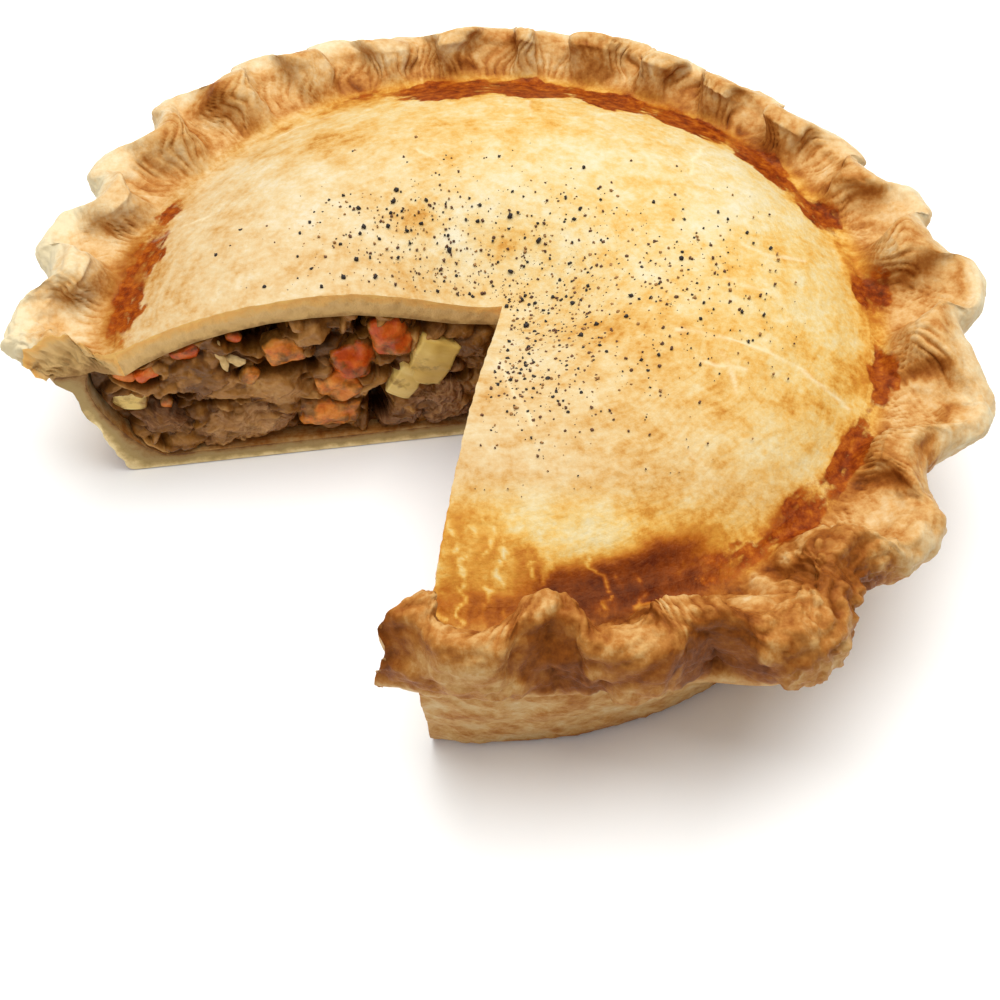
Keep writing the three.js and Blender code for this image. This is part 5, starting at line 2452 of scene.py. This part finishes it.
@dataclass
class PepperGrains:
    """Cracked pepper on the lid: the part's own larger grains and many finer ones among them."""

    form: PieForm
    lid: LidCrust
    count: int = 56
    spread: Pair = (58.0, 38.0)
    centre: Pair = (-6.0, 8.0)
    most: float = 2.3
    least: float = 1.3
    reach: float = 78.0
    clear: float = 3.0
    fine_count: int = 2100
    fine_most: float = 1.2
    fine_least: float = 0.3
    fine_places: tuple[tuple[float, float, float, float], ...] = (
        (20.0, -4.0, 22.0, 14.0), (-16.0, 16.0, 24.0, 15.0),
        (20.0, -8.0, 30.0, 20.0), (8.0, -26.0, 10.0, 16.0),
    )
    shown_share: float = 0.85
    sunk: float = 0.12
    half: float = 0.36
    flattened: Triple = (1.0, 0.85, 0.7)
    colour_shares: Triple = (0.3, 0.45, 0.25)

    def large(self) -> list[Triple]:
        """The part's own grains, as place in plan and size.

        Returns:
            The grains.
        """
        random = SeededRandom(11)

        def bell() -> float:
            """A number round 0, most often near it."""
            return random() + random() + random() - 1.5

        grains: list[Triple] = []
        while len(grains) < self.count:
            across = self.centre[0] + self.spread[0] * bell()
            away = self.centre[1] + self.spread[1] * bell()
            size = self.most + (self.least - self.most) * math.sqrt(len(grains) / self.count)
            for _ in range(3):
                random()
            x, y, fits = self.fitted(across, away)
            apart = all(math.hypot(x - other[0], y - other[1]) > size + other[2] for other in grains)
            if fits and apart:
                grains.append((x, y, size))
        return grains

    def fitted(self, across: float, away: float) -> tuple[float, float, bool]:
        """Where a grain that fell at a place lies, and whether it is on the lid and clear of the cuts.

        Args:
            across: Where it fell, along X from the axis.
            away: Where it fell, along Y from the axis.

        Returns:
            Its place in plan, and whether it is kept.
        """
        radius = math.hypot(across, away)
        angle = (math.degrees(math.atan2(away, across)) + TURN) % TURN
        spare = math.degrees(self.clear / max(radius, self.clear))
        x, y = self.form.plan(np.array(radius), np.array(angle))
        kept = angle < self.form.cut_from - spare or angle > self.form.cut_to + spare
        return float(x), float(y), radius < self.reach and kept

    def fine(self) -> list[Triple]:
        """Finer grains and dust, spread over the same patch and a little past it.

        Returns:
            The grains, as place in plan and size.
        """
        random = np.random.default_rng(12)
        grains = []
        while len(grains) < self.fine_count:
            middle_x, middle_y, wide, deep = self.fine_places[int(random.integers(len(self.fine_places)))]
            across = middle_x + wide * random.normal()
            away = middle_y + deep * random.normal()
            size = self.fine_least + (self.fine_most - self.fine_least) * random.random() ** 2.5
            x, y, fits = self.fitted(across, away)
            if fits:
                grains.append((x, y, size))
        return grains

    def build(self, finishes: list[Material]) -> None:
        """Makes one mesh for each colour of grain.

        Args:
            finishes: The dark, the brown and the light finish.
        """
        random = np.random.default_rng(13)
        grains = [((x, y, self.shown_share * size), 0) for x, y, size in self.large()]
        grains += [(grain, int(random.choice(3, p=self.colour_shares))) for grain in self.fine()]
        ball, faces = round_block(2, 0.55)
        names = ("pepper_black", "pepper_brown", "pepper_light")
        for number, (name, finish) in enumerate(zip(names, finishes)):
            work = Patchwork(self.form)
            for (x, y, size), colour in grains:
                if colour == number:
                    work.add(self.grain(ball, x, y, size, random), [faces], 0, {})
            work.piece(name, "lid_crust", [finish])

    def grain(self, ball: Array, x: float, y: float, size: float, random: np.random.Generator) -> Array:
        """One angular grain, turned at random and sunk a little into the lid.

        Args:
            ball: Points of the plain block.
            x: Place in plan.
            y: Place in plan.
            size: Width of the grain.
            random: Source of its turn and unevenness.

        Returns:
            The grain's points.
        """
        radius = math.hypot(x - self.form.apex[0], y - self.form.apex[1])
        relief = self.lid.dome_relief(np.array(x), np.array(y))
        ground = float(self.form.lid_top(np.array(radius)) + relief)
        uneven = 1.0 + 0.22 * random.normal(size=(len(ball), 1))
        turn = np.linalg.qr(random.normal(size=(3, 3)))[0]
        if np.linalg.det(turn) < 0.0:
            turn[:, 0] = -turn[:, 0]
        points = (ball * np.clip(uneven, 0.7, 1.3) * np.array(self.flattened)) @ turn.T * size * self.half
        lowest = points[:, 2].min()
        return points + np.array([x, y, ground - lowest - self.sunk * size - 0.1])


@dataclass(frozen=True)
class Lamp:
    """A large soft lamp, by its place, its width and its power."""

    name: str
    place: Triple
    size: float
    watts: float


@dataclass
class Studio:
    """The camera, a plain pale floor and soft light."""

    form: PieForm
    eye: Triple = (2.43, -273.87, 309.94)
    aim: Triple = (2.43, -26.67, 0.0)
    lens: float = 53.585
    sensor: float = 36.0
    floor_size: float = 6000.0
    floor_below: float = 0.3
    sky_strength: float = 0.34
    lit_height: float = 30.0
    lamps: tuple[Lamp, ...] = (
        Lamp("key", (60.0, 240.0, 1050.0), 1200.0, 19.4),
        Lamp("fill", (-550.0, -450.0, 900.0), 1000.0, 2.8),
    )

    def build(self) -> None:
        """Sets up the camera, floor and lights."""
        self.camera()
        self.floor()
        self.sky()
        for lamp in self.lamps:
            self.hang(lamp)
        bpy.context.scene.view_settings.view_transform = "Standard"

    def aimed(self, thing: bpy.types.Object, place: Triple, at: Triple) -> None:
        """Puts a camera or lamp at a place and points it at another, both in the pie's millimetres.

        Args:
            thing: The camera or lamp.
            place: Where it stands.
            at: Where it points.
        """
        eye = Vector(self.form.to_frame(np.array(place)))
        way = Vector(self.form.to_frame(np.array(at))) - eye
        thing.location = eye
        thing.rotation_euler = way.to_track_quat("-Z", "Y").to_euler()

    def camera(self) -> None:
        """The camera, where the photograph was taken from."""
        lens = bpy.data.cameras.new("camera")
        lens.lens = self.lens
        lens.sensor_width = self.sensor
        lens.clip_start = 0.01
        lens.clip_end = 50.0
        camera = bpy.data.objects.new("camera", lens)
        bpy.context.scene.collection.objects.link(camera)
        self.aimed(camera, self.eye, self.aim)
        bpy.context.scene.camera = camera

    def floor(self) -> None:
        """A plain white floor."""
        half = self.floor_size / 2.0
        corners = np.array([(-half, -half, 0.0), (half, -half, 0.0), (half, half, 0.0), (-half, half, 0.0)])
        mesh = bpy.data.meshes.new("floor")
        points = self.form.to_frame(corners - np.array([0.0, 0.0, self.floor_below]))
        mesh.from_pydata(points.tolist(), [], [(0, 1, 2, 3)])
        floor = bpy.data.objects.new("floor", mesh)
        bpy.context.scene.collection.objects.link(floor)
        shading = Shading("floor_white")
        tint = shading.noise(shading.space(), 6.0)
        shading.surface(
            Base_Color=shading.ramp(tint, ((0.3, "#F6F6F4"), (0.7, "#FAFAF8"))),
            Roughness=0.6,
            Specular_IOR_Level=0.2,
        )
        mesh.materials.append(shading.material)

    def sky(self) -> None:
        """Even white light from all sides."""
        world = bpy.data.worlds.new("studio")
        world.use_nodes = True
        sky = world.node_tree.nodes["Background"]
        sky.inputs["Color"].default_value = (1.0, 1.0, 1.0, 1.0)
        sky.inputs["Strength"].default_value = self.sky_strength
        bpy.context.scene.world = world

    def hang(self, lamp: Lamp) -> None:
        """Hangs a lamp that points at the pie.

        Args:
            lamp: The lamp.
        """
        light = bpy.data.lights.new(lamp.name, "AREA")
        light.size = lamp.size * MM
        light.energy = lamp.watts
        hung = bpy.data.objects.new(lamp.name, light)
        bpy.context.scene.collection.objects.link(hung)
        self.aimed(hung, lamp.place, (0.0, 0.0, self.lit_height))


def main() -> None:
    """Builds the pie's pieces and the studio in order."""
    logging.basicConfig(level=logging.INFO, format="%(name)s: %(message)s")
    form = PieForm()
    baked = BakedPastry().material()
    lid = LidCrust(form)
    lid.build([baked, PastryCrumb().material()])
    BaseCrust(form).build([baked, BASE_CRUMB.material()])
    finishes = {
        Kind.CARROT: CARROT.material(),
        Kind.TOMATO: TOMATO.material(),
        Kind.CELERY: CELERY.material(),
        Kind.FLAKE: FLAKE.material(),
    }
    Filling(form).build(finishes, StewedMeat().material())
    pepper = [
        PepperSkin("pepper_black", ((0.3, "#0E0A08"), (0.6, "#2A1D16"), (0.8, "#4A3628"))).material(),
        PepperSkin("pepper_brown", ((0.3, "#3A2011"), (0.6, "#6A4022"), (0.8, "#8A5C34"))).material(),
        PepperSkin("pepper_light", ((0.3, "#7A5228"), (0.6, "#A8783E"), (0.8, "#C49A5C"))).material(),
    ]
    PepperGrains(form, lid).build(pepper)
    Studio(form).build()


if __name__ == "__main__":
    main()
